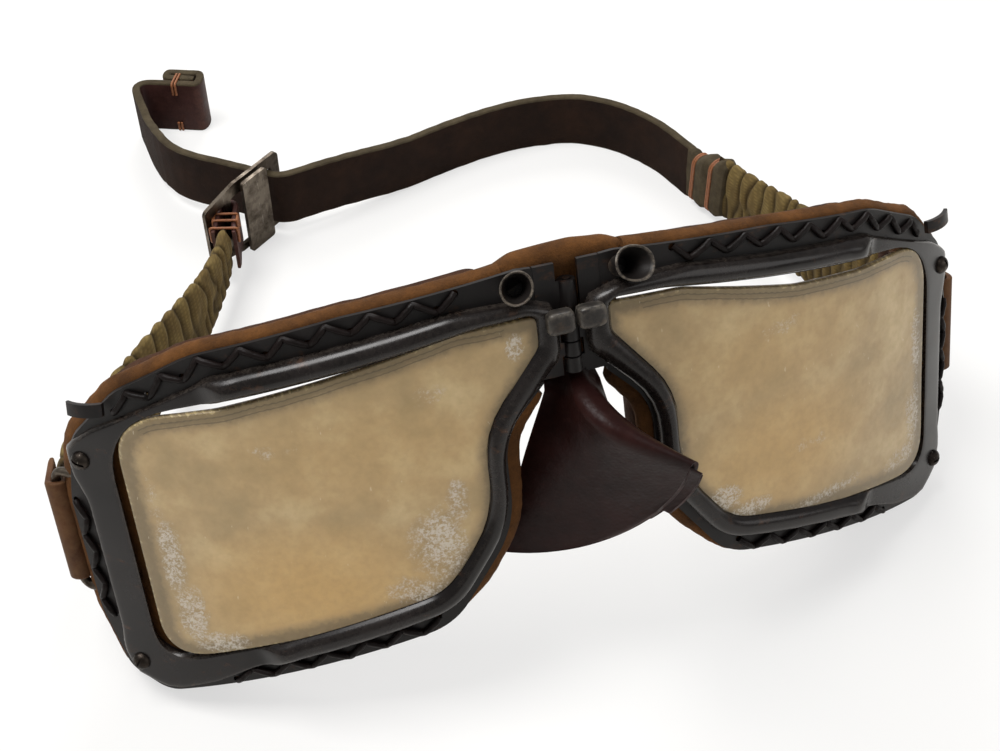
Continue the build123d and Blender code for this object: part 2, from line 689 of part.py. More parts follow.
# Splice: the strap's end folded round the elastic's end and sewn
splice_plane = Plane(origin=splice_start, x_dir=Vector(0, 0, 1).cross(splice_way), z_dir=splice_way)
splice_long = (Vector(*SPLICE_END, 0) - splice_start).length
splice_sections = [(0.05, 2.8, 15.2, 8.6), (2.6, 4.2, 14.4, 8.6), (6.4, 5.8, 16.4, 9.4), (9.4, 4.9, 17.0, 10.4)]
splice_sections.append((splice_long - 0.05, 4.4, 18.6, 11.0))
with BuildPart() as strap_splice:
    for along, thick, tall, middle in splice_sections:
        with BuildSketch(splice_plane.offset(along)):
            with Locations((0, middle)):
                Rectangle(thick, tall)
    loft(ruled=True)
write(strap_splice.part, "strap_splice")

# Splice stitching: two turns of thread round the splice
with BuildPart() as splice_stitching:
    for along, thick, tall, middle in (splice_sections[1], splice_sections[3]):
        with BuildSketch(splice_plane.offset(along - THREAD_RADIUS)):
            with Locations((0, middle)):
                Rectangle(thick + 1.2, tall + 1.2)
                Rectangle(thick + 0.5, tall + 0.5, mode=Mode.SUBTRACT)
        extrude(amount=2 * THREAD_RADIUS)
write(splice_stitching.part, "splice_stitching")

# Buckle frame: an upright plate with a window for the leather and a slot for the strap
plate_way = Vector(cos(radians(BUCKLE_TURN)), sin(radians(BUCKLE_TURN)), 0)
plate_face = Vector(plate_way.Y, -plate_way.X, 0)
buckle_plane = Plane(origin=buckle_point, x_dir=plate_way, z_dir=plate_face)
rail_low = STRAP_LIFT - SLOT_CLEAR
rail_high = STRAP_LIFT + STRAP_WIDE + SLOT_CLEAR
bar_middle, bar_half = CHAPE_BAR
with BuildPart() as buckle_frame:
    with BuildSketch(buckle_plane.offset(-BUCKLE_THICK / 2)):
        with BuildLine():
            FilletPolyline(
                (-23.4, 3.2),
                (-12, BUCKLE_FOOT),
                (4.8, BUCKLE_FOOT),
                (4.8, BUCKLE_TOP),
                (-12, BUCKLE_TOP),
                (-23.4, 20.4),
                radius=1.6,
                close=True,
            )
        make_face()
        with BuildLine():
            Polyline((-20.4, rail_low + 1.6), (-12, rail_low), (SLOT_HALF, rail_low), (SLOT_HALF, rail_high))
            Polyline((SLOT_HALF, rail_high), (-12, rail_high), (-20.4, rail_high - 1.2), (-20.4, rail_low + 1.6))
        make_face(mode=Mode.SUBTRACT)
        with Locations((bar_middle, (BUCKLE_TOP + BUCKLE_FOOT) / 2)):
            Rectangle(2 * bar_half, rail_high - rail_low + 0.6)
    extrude(amount=BUCKLE_THICK)
write(buckle_frame.part, "buckle_frame")

# Buckle bar: the wide front bar, raised on ears at its top and bottom
with BuildPart() as buckle_bar:
    with BuildSketch(buckle_plane.offset(BUCKLE_THICK / 2 + BAR_LIFT)):
        with Locations(((BAR_START + BAR_END) / 2, (BUCKLE_TOP + BUCKLE_FOOT) / 2)):
            RectangleRounded(BAR_END - BAR_START, BUCKLE_TOP - BUCKLE_FOOT, 0.9)
    extrude(amount=BUCKLE_THICK)
    with BuildSketch(buckle_plane.offset(BUCKLE_THICK / 2 + SEAT_GAP)):
        for height in (BUCKLE_FOOT + 1.0, BUCKLE_TOP - 1.5):
            with Locations(((BAR_START + BAR_END) / 2, height)):
                Rectangle(BAR_END - BAR_START - 2.4, 1.2)
    extrude(amount=BAR_LIFT - SEAT_GAP)
write(buckle_bar.part, "buckle_bar")

# Buckle chape: leather folded round the frame's middle bar, with the elastic at its end
bar_spot = buckle_plane.from_local_coords(Vector(bar_middle, 0, 0))
chape_way = Vector(cos(radians(CHAPE_HEADING)), sin(radians(CHAPE_HEADING)), 0)
with BuildPart() as buckle_chape:
    with BuildSketch(Plane(origin=(bar_spot.X, bar_spot.Y, CHAPE_LOW), x_dir=chape_way, z_dir=(0, 0, 1))):
        add(fold(CHAPE_INNER, CHAPE_THICK, CHAPE_LONG))
    extrude(amount=CHAPE_HIGH - CHAPE_LOW)
write(buckle_chape.part, "buckle_chape")

# Chape stitching: two short rows of thread through both plies
with BuildPart() as chape_stitching:
    chape_side = Vector(0, 0, 1).cross(chape_way)
    for along in (7.6, 9.4):
        for hand in (-1, 1):
            offset_out = CHAPE_INNER + CHAPE_THICK + THREAD_RADIUS
            spot = bar_spot + chape_way * along + chape_side * hand * offset_out
            with BuildSketch(Plane(origin=(spot.X, spot.Y, CHAPE_LOW + 1.5), z_dir=(0, 0, 1))):
                Circle(THREAD_RADIUS)
            extrude(amount=CHAPE_HIGH - CHAPE_LOW - 3)
write(chape_stitching.part, "chape_stitching")

# Left elastic, from the left temple to the buckle's chape
left_start = Vector(-elastic_start.X, elastic_start.Y, elastic_start.Z)
left_way = Vector(-elastic_way.X, elastic_way.Y, elastic_way.Z)
left_end = bar_spot + chape_way * (CHAPE_LONG + SEAT_GAP) + Vector(0, 0, (CHAPE_LOW + CHAPE_HIGH) / 2)
write(
    shirred(left_start, left_way, elastic_up, left_end, -chape_way, ELASTIC_WIDE, CHAPE_HIGH - CHAPE_LOW + 2),
    "left_elastic_strap",
)

strap_long = sum(edge.length for edge in front_run.edges() + back_run.edges())
print("rear strap's length", round(strap_long, 1), "mm")
print("least gap between the roll's layers", ROLL_GAP, "mm")
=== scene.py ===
"""Dresses a pair of two-lens flying goggles that stand on a table with their strap behind them.

The frames are drawn as they were drawn for the workshop: upright, hinge pin along Z, in
millimetres, and are then leaned back and set on the table. The strap is drawn where it
stands on the table. Every finished mesh is in metres, with its place in its vertices.
"""

import logging
import math
from dataclasses import astuple, dataclass, field
from enum import Enum
from functools import cached_property
from typing import Sequence

import bmesh
import bpy
from mathutils import Matrix, Vector, noise

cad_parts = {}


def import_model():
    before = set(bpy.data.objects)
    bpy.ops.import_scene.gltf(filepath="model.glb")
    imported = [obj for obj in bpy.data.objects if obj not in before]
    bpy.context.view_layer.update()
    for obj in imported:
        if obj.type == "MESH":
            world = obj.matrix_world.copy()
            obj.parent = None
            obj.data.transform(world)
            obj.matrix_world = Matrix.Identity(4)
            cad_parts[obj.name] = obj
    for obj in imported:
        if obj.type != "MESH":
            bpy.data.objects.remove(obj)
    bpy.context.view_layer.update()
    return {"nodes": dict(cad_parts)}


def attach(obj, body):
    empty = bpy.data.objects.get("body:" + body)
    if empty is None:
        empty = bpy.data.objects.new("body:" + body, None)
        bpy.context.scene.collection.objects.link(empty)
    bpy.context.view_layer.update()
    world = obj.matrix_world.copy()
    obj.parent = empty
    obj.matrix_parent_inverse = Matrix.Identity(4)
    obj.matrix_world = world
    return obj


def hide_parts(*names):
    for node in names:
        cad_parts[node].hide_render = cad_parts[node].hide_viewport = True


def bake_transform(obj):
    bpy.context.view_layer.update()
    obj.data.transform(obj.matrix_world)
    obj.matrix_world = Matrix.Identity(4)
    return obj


LOG = logging.getLogger("goggles")

MM = 0.001
LEAN = math.radians(20.0)
HINGE_HEIGHT = 77.2
MIDDLE_BEHIND = 85.2

Point2 = tuple[float, float]
Ring = list[Vector]
Object = bpy.types.Object
Material = bpy.types.Material
Socket = bpy.types.NodeSocket


class Side(Enum):
    """The two halves, as seen from the front."""

    LEFT = "left"
    RIGHT = "right"

    @property
    def hand(self) -> int:
        """Sign of X on this side."""
        return -1 if self is Side.LEFT else 1

    @property
    def body(self) -> str:
        """Name of the body that this half's frame belongs to."""
        return f"{self.value}_half"

    def node(self, name: str) -> str:
        """Name of this side's own node.

        Args:
            name: the node's name without its side.

        Returns:
            The full node name.
        """
        return f"{self.value}_{name}"

    def stand(self, spot: Vector) -> Vector:
        """Where a point of the frames' drawing stands on this side, in metres."""
        return stood(spot.x, spot.y, spot.z, self.hand)

    def behind(self, flat: Vector, depth: float) -> Vector:
        """Where a flat (x, z) place stands, in metres, a depth behind the frames' face."""
        return self.stand(WRAP.straight(flat.x, flat.y, depth))

    def ruffle(self, flat: Vector, size: float, level: float) -> float:
        """Smooth noise from about -1 to 1 at a flat (x, z) place, of its own on each side."""
        return ruffle(Vector((flat.x, flat.y, level * self.hand)), size)


# Places


def stood(x: float, y: float, z: float, hand: int = 1) -> Vector:
    """Where a point of the frames' drawing comes to when the goggles stand on the table.

    Args:
        x: millimetres from the hinge to the temple.
        y: millimetres behind the hinge pin.
        z: millimetres up along the pin.
        hand: 1 for the right half and -1 for the left.

    Returns:
        The point in metres.
    """
    back = y * math.cos(LEAN) + z * math.sin(LEAN) - MIDDLE_BEHIND
    up = -y * math.sin(LEAN) + z * math.cos(LEAN) + HINGE_HEIGHT
    return Vector((hand * x, back, up)) * MM


def on_table(x: float, y: float, z: float) -> Vector:
    """A point of the strap's drawing in metres, Y counted from under the hinge."""
    return Vector((x, y - MIDDLE_BEHIND, z)) * MM


def smooth(value: float, low: float, high: float) -> float:
    """An even step from 0 at low to 1 at high."""
    share = min(max((value - low) / (high - low), 0.0), 1.0)
    return share * share * (3 - 2 * share)


def mix(first: float, second: float, share: float) -> float:
    """The number a share of the way from the first to the second."""
    return first + (second - first) * share


def squared(number: float, power: float) -> float:
    """A sine or cosine pushed outwards, towards a box, the more the lower the power."""
    return math.copysign(abs(number) ** power, number)


def facing(turn: float) -> Vector:
    """The flat unit vector at an angle from X."""
    return Vector((math.cos(turn), math.sin(turn)))


def ruffle(point: Vector, size: float, seed: float = 0.0) -> float:
    """Smooth noise from about -1 to 1 at a point given in millimetres."""
    return noise.noise(point / size + Vector((seed, 1.7 * seed, -seed)))


@dataclass(frozen=True)
class Wrap:
    """The curved face of the frames: flat across the bridge, then one arc to the temple."""

    face: float = -0.5
    flat: float = 8.0
    radius: float = 135.0

    def turn(self, x: float) -> float:
        """Angle by which the face has turned back at x."""
        return math.asin(min(max(x - self.flat, 0.0) / self.radius, 1.0))

    def spot(self, x: float, z: float, out: float = 0.0) -> Vector:
        """A point on the face, or lifted off it towards the front.

        Args:
            x: millimetres from the hinge.
            z: millimetres up along the pin.
            out: how far the point is in front of the face; behind it when negative.

        Returns:
            The point in the frames' drawing, in millimetres.
        """
        angle = self.turn(x)
        base = self.face + self.radius * (1 - math.cos(angle))
        return Vector((x + out * math.sin(angle), base - out * math.cos(angle), z))

    def straight(self, x: float, z: float, behind: float) -> Vector:
        """A point straight behind (x, z) on the surface a distance behind the face.

        Args:
            x: millimetres from the hinge.
            z: millimetres up along the pin.
            behind: the distance behind the face.

        Returns:
            The point in the frames' drawing, in millimetres.
        """
        reach = self.radius - behind
        step = max(x - self.flat, 0.0)
        return Vector((x, self.face + self.radius - math.sqrt(reach * reach - step * step), z))


WRAP = Wrap()


@dataclass
class Outline:
    """A flat outline with rounded corners, drawn in (x, z) millimetres."""

    corners: Sequence[Point2]
    radii: Sequence[float]
    closed: bool = True
    pace: float = 0.9

    def dense(self) -> list[Vector]:
        """The outline as evenly spaced points.

        Returns:
            Points about one pace apart, the first not repeated at the end of a closed outline.
        """
        corners = [Vector(corner) for corner in self.corners]
        count = len(corners)
        raw: list[Vector] = []
        for index, corner in enumerate(corners):
            if not self.closed and index in (0, count - 1):
                raw.append(corner)
                continue
            before = corners[index - 1]
            after = corners[(index + 1) % count]
            way_in = (corner - before).normalized()
            way_out = (after - corner).normalized()
            radius = self.radii[index if self.closed else index - 1]
            half = way_in.angle(way_out, 0.0) / 2
            if half < 0.01:
                raw.append(corner)
                continue
            shorter = min((corner - before).length, (after - corner).length)
            reach = min(radius * math.tan(half), shorter * 0.49)
            start = corner - way_in * reach
            end = corner + way_out * reach
            steps = max(4, int(half * 12))
            for step in range(steps + 1):
                share = step / steps
                back = 1 - share
                raw.append(start * back**2 + corner * 2 * share * back + end * share**2)
        return self.even(raw)

    def even(self, raw: list[Vector]) -> list[Vector]:
        """Points spaced evenly along a run of points.

        Args:
            raw: the run.

        Returns:
            Points about one pace apart.
        """
        run = raw + [raw[0]] if self.closed else raw
        lengths = [0.0]
        for first, second in zip(run, run[1:]):
            lengths.append(lengths[-1] + (second - first).length)
        total = lengths[-1]
        steps = max(8, round(total / self.pace))
        spots: list[Vector] = []
        place = 0
        for step in range(steps if self.closed else steps + 1):
            goal = total * step / steps
            while place < len(lengths) - 2 and lengths[place + 1] < goal:
                place += 1
            span = max(lengths[place + 1] - lengths[place], 1e-9)
            spots.append(run[place].lerp(run[place + 1], (goal - lengths[place]) / span))
        return spots


def outward(points: list[Vector], index: int, closed: bool = True) -> Vector:
    """The left-hand normal of a run of flat points, which is outward on these outlines.

    Args:
        points: the run.
        index: the point's number.
        closed: whether the run's ends meet.

    Returns:
        A unit vector.
    """
    count = len(points)
    before = points[index - 1] if closed or index else points[index]
    after = points[(index + 1) % count] if closed or index < count - 1 else points[index]
    way = (after - before).normalized()
    return Vector((-way.y, way.x))


def grown(points: list[Vector], amount: float) -> list[Vector]:
    """The outline moved outwards by an amount."""
    return [point + outward(points, index) * amount for index, point in enumerate(points)]


def reach_to(origin: Vector, way: Vector, wall: list[Vector], limit: float) -> float:
    """Distance from a point along a way to a closed wall of points.

    Args:
        origin: the starting point.
        way: a unit vector.
        wall: the points of the closed outline to meet.
        limit: the distance that is given where the wall isn't met before it.

    Returns:
        The distance, at most the limit.
    """
    best = limit
    for first, second in zip(wall, wall[1:] + wall[:1]):
        run = second - first
        cross = way.x * run.y - way.y * run.x
        if abs(cross) < 1e-9:
            continue
        gap = first - origin
        along = (gap.x * run.y - gap.y * run.x) / cross
        share = (gap.x * way.y - gap.y * way.x) / cross
        if 0 <= share <= 1 and 0.02 < along < best:
            best = along
    return best


OPENING = Outline(
    [(6.9, 4.4), (17, 4.0), (83.2, -8.2), (83.2, -62.4)]
    + [(29, -48.2), (18.6, -34), (18.6, -16.5), (6.9, -1.8)],
    [1.6, 25, 16, 6.5, 12, 22, 20, 2.4],
)
BEAD_EDGE = Outline(
    [(2.5, 5.0), (8.5, 7.1), (22, 7.2), (88, -4.2), (88, -68.6)]
    + [(27, -52.6), (15.0, -35.6), (14.9, -18.2), (2.5, -4.9)],
    [1.5, 5, 25, 16, 10, 14, 24, 18, 1.5],
)
PLATE_EDGE = Outline(
    [(57, 1.0), (64, -0.6), (85.5, -10.8), (90.9, -14.8), (90.9, -20.6), (89.3, -26), (89.2, -55)]
    + [(89.9, -60.5), (88.7, -65.7), (82.6, -69.2), (73.5, -66.2), (66, -62.3), (57, -60)],
    [0.5, 8, 6, 3, 4, 12, 12, 6, 3, 4, 6, 8, 0.5],
)
FLANGE_EDGE = Outline(
    [(6.05, 12.3), (9, 12.5), (40, 9.0), (66, 3.9), (80, -3.2), (89.6, -13.5), (92.4, -27)]
    + [(92.2, -52), (89.4, -65.5), (83.2, -70.4), (28, -57.0), (14.4, -38), (14.3, -18.8), (6.05, -10.2)],
    [0.3, 3, 30, 20, 12, 10, 14, 14, 5, 5, 14, 22, 14, 0.3],
)
LENS_TOPS: dict[Side, list[Point2]] = {
    Side.LEFT: [(6.0, 3.9), (21, 3.6), (45, -2.0), (63, -6.0), (81.7, -8.3)],
    Side.RIGHT: [(6.0, 3.6), (21, 2.8), (45, -3.8), (61, -6.4), (81.7, -7.8)],
}
LENS_EDGES: dict[Side, Outline] = {
    side: Outline(
        top + [(81.7, -60.9), (28.2, -49.6), (17, -34.6), (17, -17.2), (5.6, -2.6)],
        [1.8, 15, 20, 18, 13, 7, 11, 20, 18, 2.2],
        pace=0.7,
    )
    for side, top in LENS_TOPS.items()
}
CUSHION_EDGE = Outline(
    [(11.2, 9.4), (40, 6.0), (66, 0.6), (78, -5.6), (85.6, -15), (87.6, -27), (87.4, -52)]
    + [(84.8, -62.6), (80, -66.0), (28.5, -54.4), (13.2, -37), (13.0, -20), (11.2, -13)],
    [3, 25, 16, 10, 8, 12, 12, 6, 6, 14, 12, 8, 3],
)


# Materials


COLOURS = {"out": 2, "data_type": "RGBA"}
PRODUCT = {"operation": "MULTIPLY"}
SUM = {"operation": "ADD"}


def colour(code: str) -> tuple[float, float, float, float]:
    """An sRGB hex colour as linear numbers.

    Args:
        code: a hash and six hex digits.

    Returns:
        Linear red, green and blue, and an alpha of 1.
    """
    parts = [int(code[place : place + 2], 16) / 255 for place in (1, 3, 5)]
    linear = [part / 12.92 if part <= 0.04045 else ((part + 0.055) / 1.055) ** 2.4 for part in parts]
    return (linear[0], linear[1], linear[2], 1.0)


def grain(size_mm: float, detail: float = 3.0, rough: float = 0.55) -> dict[str, float]:
    """What a noise is given for features of about a size in millimetres."""
    return {"Scale": 1 / (size_mm * MM), "Detail": detail, "Roughness": rough}


def span(low: float, high: float, start: float = 0.0, end: float = 1.0) -> dict[int, float]:
    """What maps the numbers from low to high to those from start to end, and holds the ends."""
    return {1: low, 2: high, 3: start, 4: end}


class Tree:
    """A node tree in the making."""

    def __init__(self, tree: bpy.types.NodeTree) -> None:
        """Takes a tree and empties it."""
        self.tree = tree
        self.tree.nodes.clear()

    def add(
        self,
        kind: str,
        inputs: dict | None = None,
        out: int | str = 0,
        stops: Sequence[tuple[float, str]] = (),
        **settings: object,
    ) -> Socket | None:
        """Adds a node with its settings and links.

        Args:
            kind: the node's type; a shader node's is given without its prefix.
            inputs: socket name or number to a value, or to an output socket to link.
            out: name or number of the output that is given back.
            stops: places and hex colours along a colour ramp.
            settings: properties set on the node.

        Returns:
            The node's output, or None where it has none.
        """
        node = self.tree.nodes.new(kind if "Node" in kind else "ShaderNode" + kind)
        for name, value in settings.items():
            setattr(node, name, value)
        for number, (place, code) in enumerate(stops):
            band = node.color_ramp.elements
            stop = band[number] if number < len(band) else band.new(place)
            stop.position = place
            stop.color = colour(code)
        for name, value in (inputs or {}).items():
            if isinstance(value, Socket):
                self.tree.links.new(value, node.inputs[name])
            else:
                node.inputs[name].default_value = value
        return node.outputs[out] if node.outputs else None


class Nodes(Tree):
    """A material's node tree, which starts from the place on the piece."""

    def __init__(self, name: str) -> None:
        """Starts a material.

        Args:
            name: the material's name.
        """
        self.material = bpy.data.materials.new(name)
        self.material.use_nodes = True
        super().__init__(self.material.node_tree)
        self.place = self.add("TexCoord", out="Object")

    def finish(self, look: dict, height: Socket, strength: float, deep: float) -> Material:
        """Ends the tree in a bumped surface.

        Args:
            look: what the surface's shader is given.
            height: the bumps' height.
            strength: how strongly the bumps show.
            deep: how deep they are, in metres.

        Returns:
            The material.
        """
        bump = self.add("Bump", {"Strength": strength, "Distance": deep, "Height": height})
        self.add("OutputMaterial", {"Surface": self.add("BsdfPrincipled", {**look, "Normal": bump})})
        return self.material


@dataclass(frozen=True)
class LacqueredBrass:
    """Sheet brass stoved with black lacquer: soft grey sheen, brown where hands wore it.

    The lacquer gives broad cloudy reflections; the wear shows on edges and in patches.
    """

    name: str = "black_lacquered_brass"
    dark: str = "#0A0706"
    sheen: str = "#191413"
    brown: str = "#4A2F1C"
    bright: str = "#6E6458"
    wear: float = 0.5
    rough: float = 0.42
    edges: float = 0.75

    def make(self) -> Material:
        """Builds the material.

        Returns:
            The material.
        """
        n = Nodes(self.name)
        cloud = n.add("TexNoise", {0: n.place, **grain(14.0, 4.0)})
        grit = n.add("TexNoise", {0: n.place, **grain(0.9, 4.0, 0.7)})
        drawn = n.add("Mapping", {0: n.place, "Scale": (1.0, 1.0, 2.2)})
        rub = n.add("TexNoise", {0: drawn, **grain(6.0, 5.0, 0.7)})
        edge = n.add("NewGeometry", out="Pointiness")
        edge = n.add("MapRange", {0: edge, **span(0.505, 0.56, 0.0, self.edges)})
        edge = n.add("Math", {0: edge, 1: n.add("MapRange", {0: grit, **span(0.35, 0.6)})}, **PRODUCT)
        shift = 0.1 * self.wear
        patch = n.add("MapRange", {0: rub, **span(0.64 - shift, 0.78 - shift, 0.0, 0.85)})
        patch = n.add("Math", {0: patch, 1: n.add("MapRange", {0: grit, **span(0.3, 0.62)})}, **PRODUCT)
        base = colour(self.dark)
        veil = n.add("MapRange", {0: cloud, **span(0.32, 0.68)})
        for share, tint in ((veil, self.sheen), (patch, self.brown), (edge, self.bright)):
            base = n.add("Mix", {0: share, 6: base, 7: colour(tint)}, **COLOURS)
        haze = n.add("MapRange", {0: cloud, **span(0.3, 0.7, -0.06, 0.08)})
        fine = n.add("MapRange", {0: grit, **span(0.3, 0.7, self.rough - 0.02, self.rough + 0.03)})
        look = {
            "Base Color": base,
            "Metallic": 0.12,
            "Roughness": n.add("Math", {0: haze, 1: fine}, **SUM),
            "Specular IOR Level": 0.34,
        }
        height = n.add("Math", {0: rub, 1: 1.5, 2: grit}, operation="MULTIPLY_ADD")
        return n.finish(look, height, 0.02, 0.00015)


@dataclass(frozen=True)
class BareMetal:
    """Nickel plate, steel wire or worn brass: dull metal with stains and fine scratches."""

    name: str
    base: str
    stain: str
    rough: float = 0.38

    def make(self) -> Material:
        """Builds the material.

        Returns:
            The material.
        """
        n = Nodes(self.name)
        cloud = n.add("TexNoise", {0: n.place, **grain(4.0, 5.0, 0.65)})
        drawn = n.add("Mapping", {0: n.place, "Scale": (1.0, 1.0, 0.12)})
        scratch = n.add("TexNoise", {0: drawn, **grain(0.5, 3.0, 0.6)})
        base = colour(self.base)
        stained = n.add("MapRange", {0: cloud, **span(0.42, 0.66)})
        scored = n.add("MapRange", {0: scratch, **span(0.62, 0.75, 0.0, 0.35)})
        for share, tint in ((stained, self.stain), (scored, "#C9C2B4")):
            base = n.add("Mix", {0: share, 6: base, 7: colour(tint)}, **COLOURS)
        roughness = n.add("MapRange", {0: cloud, **span(0.3, 0.7, self.rough - 0.08, self.rough + 0.16)})
        look = {"Base Color": base, "Metallic": 1.0, "Roughness": roughness}
        return n.finish(look, scratch, 0.15, 0.0001)


@dataclass(frozen=True)
class Celluloid:
    """Old cellulose sheet: yellowed, hazy, delaminating in lines at its top, crusted white.

    It reads four numbers from the lens: the distance from its edge in millimetres, its
    crust, its layer lines and its glow.
    """

    name: str = "aged_celluloid"

    def make(self) -> Material:
        """Builds the material.

        Returns:
            The material.
        """
        n = Nodes(self.name)
        edge, crust, layers, glow = (
            n.add("Attribute", out="Fac", attribute_name=mark) for mark in ("edge", "crust", "layers", "glow")
        )
        cloud = n.add("TexNoise", {0: n.place, **grain(11.0, 4.0)})
        mottle = n.add("TexNoise", {0: n.place, **grain(1.6, 4.0, 0.6)})
        grit = n.add("TexNoise", {0: n.place, **grain(0.45, 3.0, 0.7)})
        flake = n.add("TexNoise", {0: n.place, **grain(0.9, 5.0, 0.75)})
        drawn = n.add("Mapping", {0: n.place, "Scale": (1.0, 1.0, 0.08)})
        scratch = n.add("TexNoise", {0: drawn, **grain(0.7, 2.0, 0.5)})
        base = n.add("ValToRGB", {0: cloud}, stops=((0.3, "#A08A62"), (0.5, "#B3996E"), (0.7, "#C5AE82")))
        spots = n.add("MapRange", {0: mottle, **span(0.4, 0.7, 0.0, 0.22)})
        for share, tint in ((glow, "#C6A062"), (spots, "#8F7850")):
            base = n.add("Mix", {0: share, 6: base, 7: colour(tint)}, **COLOURS)
        ragged = n.add("MapRange", {0: mottle, **span(0.3, 0.7, -0.5, 0.5)})
        border = n.add("Math", {0: edge, 1: ragged}, **SUM)
        bands = ((0.0, "#B5A47A"), (0.07, "#75664A"), (0.3, "#6A5B41"), (0.56, "#7F6D50"), (0.8, "#A0875F"))
        rim = n.add("ValToRGB", {0: n.add("MapRange", {0: border, **span(0.0, 5.0)})}, stops=bands)
        shade = n.add("MapRange", {0: border, **span(2.0, 4.2, 0.8, 0.0)})
        base = n.add("Mix", {0: shade, 6: base, 7: rim}, **COLOURS)
        wave = n.add("Math", {0: n.add("Math", {0: layers, 1: 6.283}, **PRODUCT)}, operation="SINE")
        line = n.add("MapRange", {0: wave, **span(0.55, 0.95, 0.0, 0.6)})
        for limits in (span(0.05, 0.4), span(2.2, 3.0, 1.0, 0.0)):
            line = n.add("Math", {0: line, 1: n.add("MapRange", {0: layers, **limits})}, **PRODUCT)
        salt = crust
        for source, limits in ((flake, span(0.38, 0.64)), (grit, span(0.3, 0.62, 0.3, 1.3))):
            salt = n.add("Math", {0: salt, 1: n.add("MapRange", {0: source, **limits})}, **PRODUCT)
        salt = n.add("MapRange", {0: salt, **span(0.1, 0.62)})
        dust = n.add("MapRange", {0: crust, **span(0.1, 0.8, 0.0, 0.3)})
        white = n.add("Math", {0: salt, 1: 0.7}, **PRODUCT)
        scored = n.add("MapRange", {0: scratch, **span(0.73, 0.78, 0.0, 0.3)})
        for share, tint in ((line, "#4C4330"), (dust, "#8D7B5E"), (white, "#D6CFC4"), (scored, "#E6DCC4")):
            base = n.add("Mix", {0: share, 6: base, 7: colour(tint)}, **COLOURS)
        chalky = n.add("MapRange", {0: salt, **span(0.0, 1.0, 0.36, 0.8)})
        uneven = n.add("MapRange", {0: mottle, **span(0.3, 0.7, -0.06, 0.1)})
        look = {
            "Base Color": base,
            "Roughness": n.add("Math", {0: chalky, 1: uneven}, **SUM),
            "IOR": 1.5,
            "Subsurface Weight": 0.12,
            "Subsurface Radius": (0.004, 0.003, 0.0015),
            "Subsurface Scale": 1.0,
            "Coat Weight": 0.12,
            "Coat Roughness": 0.25,
        }
        swell = n.add("Math", {0: cloud, 1: 1.2}, **PRODUCT)
        height = n.add("Math", {0: salt, 1: 0.8, 2: swell}, operation="MULTIPLY_ADD")
        return n.finish(look, height, 0.35, 0.0004)


@dataclass(frozen=True)
class Suede:
    """Brushed split leather: matt, with a nap that lightens in patches."""

    name: str
    deep: str
    light: str
    nap_mm: float = 2.4

    def make(self) -> Material:
        """Builds the material.

        Returns:
            The material.
        """
        n = Nodes(self.name)
        cloud = n.add("TexNoise", {0: n.place, **grain(self.nap_mm * 3, 4.0, 0.6)})
        nap = n.add("TexNoise", {0: n.place, **grain(self.nap_mm, 5.0, 0.72)})
        fibre = n.add("TexNoise", {0: n.place, **grain(0.35, 3.0, 0.75)})
        base = colour(self.deep)
        for source, limits, tint in (
            (cloud, span(0.3, 0.7), self.light),
            (nap, span(0.35, 0.68, 0.0, 0.6), self.deep),
            (fibre, span(0.3, 0.75, 0.0, 0.35), self.light),
        ):
            share = n.add("MapRange", {0: source, **limits})
            base = n.add("Mix", {0: share, 6: base, 7: colour(tint)}, **COLOURS)
        look = {
            "Base Color": base,
            "Roughness": 0.94,
            "Specular IOR Level": 0.2,
            "Sheen Weight": 0.12,
            "Sheen Roughness": 0.5,
            "Sheen Tint": colour(self.light),
        }
        height = n.add("Math", {0: nap, 1: 1.4, 2: fibre}, operation="MULTIPLY_ADD")
        return n.finish(look, height, 0.6, 0.0003)


@dataclass(frozen=True)
class Leather:
    """Smooth dyed cowhide: fine pebble grain, soft gloss, scuffs that show the hide's colour."""

    name: str
    deep: str
    light: str
    scuff: str = "#6A4A3A"
    rough: float = 0.44
    grain_mm: float = 0.7
    edges: float = 0.6

    def make(self) -> Material:
        """Builds the material.

        Returns:
            The material.
        """
        n = Nodes(self.name)
        cloud = n.add("TexNoise", {0: n.place, **grain(9.0, 4.0, 0.6)})
        crease = n.add("TexNoise", {0: n.place, **grain(2.2, 5.0, 0.65)})
        pebble = n.add("TexVoronoi", {0: n.place, "Scale": 1 / (self.grain_mm * MM)}, feature="SMOOTH_F1")
        edge = n.add("NewGeometry", out="Pointiness")
        worn = n.add("MapRange", {0: edge, **span(0.51, 0.56, 0.0, self.edges)})
        worn = n.add("Math", {0: worn, 1: n.add("MapRange", {0: crease, **span(0.3, 0.6)})}, **PRODUCT)
        veil = n.add("MapRange", {0: cloud, **span(0.3, 0.7)})
        creased = n.add("MapRange", {0: crease, **span(0.6, 0.78, 0.0, 0.2)})
        base = colour(self.deep)
        for share, tint in ((veil, self.light), (worn, self.scuff), (creased, self.scuff)):
            base = n.add("Mix", {0: share, 6: base, 7: colour(tint)}, **COLOURS)
        roughness = n.add("MapRange", {0: crease, **span(0.3, 0.7, self.rough - 0.06, self.rough + 0.14)})
        look = {"Base Color": base, "Roughness": roughness, "Specular IOR Level": 0.13}
        height = n.add("Math", {0: pebble, 1: -0.6, 2: crease}, operation="MULTIPLY_ADD")
        return n.finish(look, height, 0.3, 0.00022)


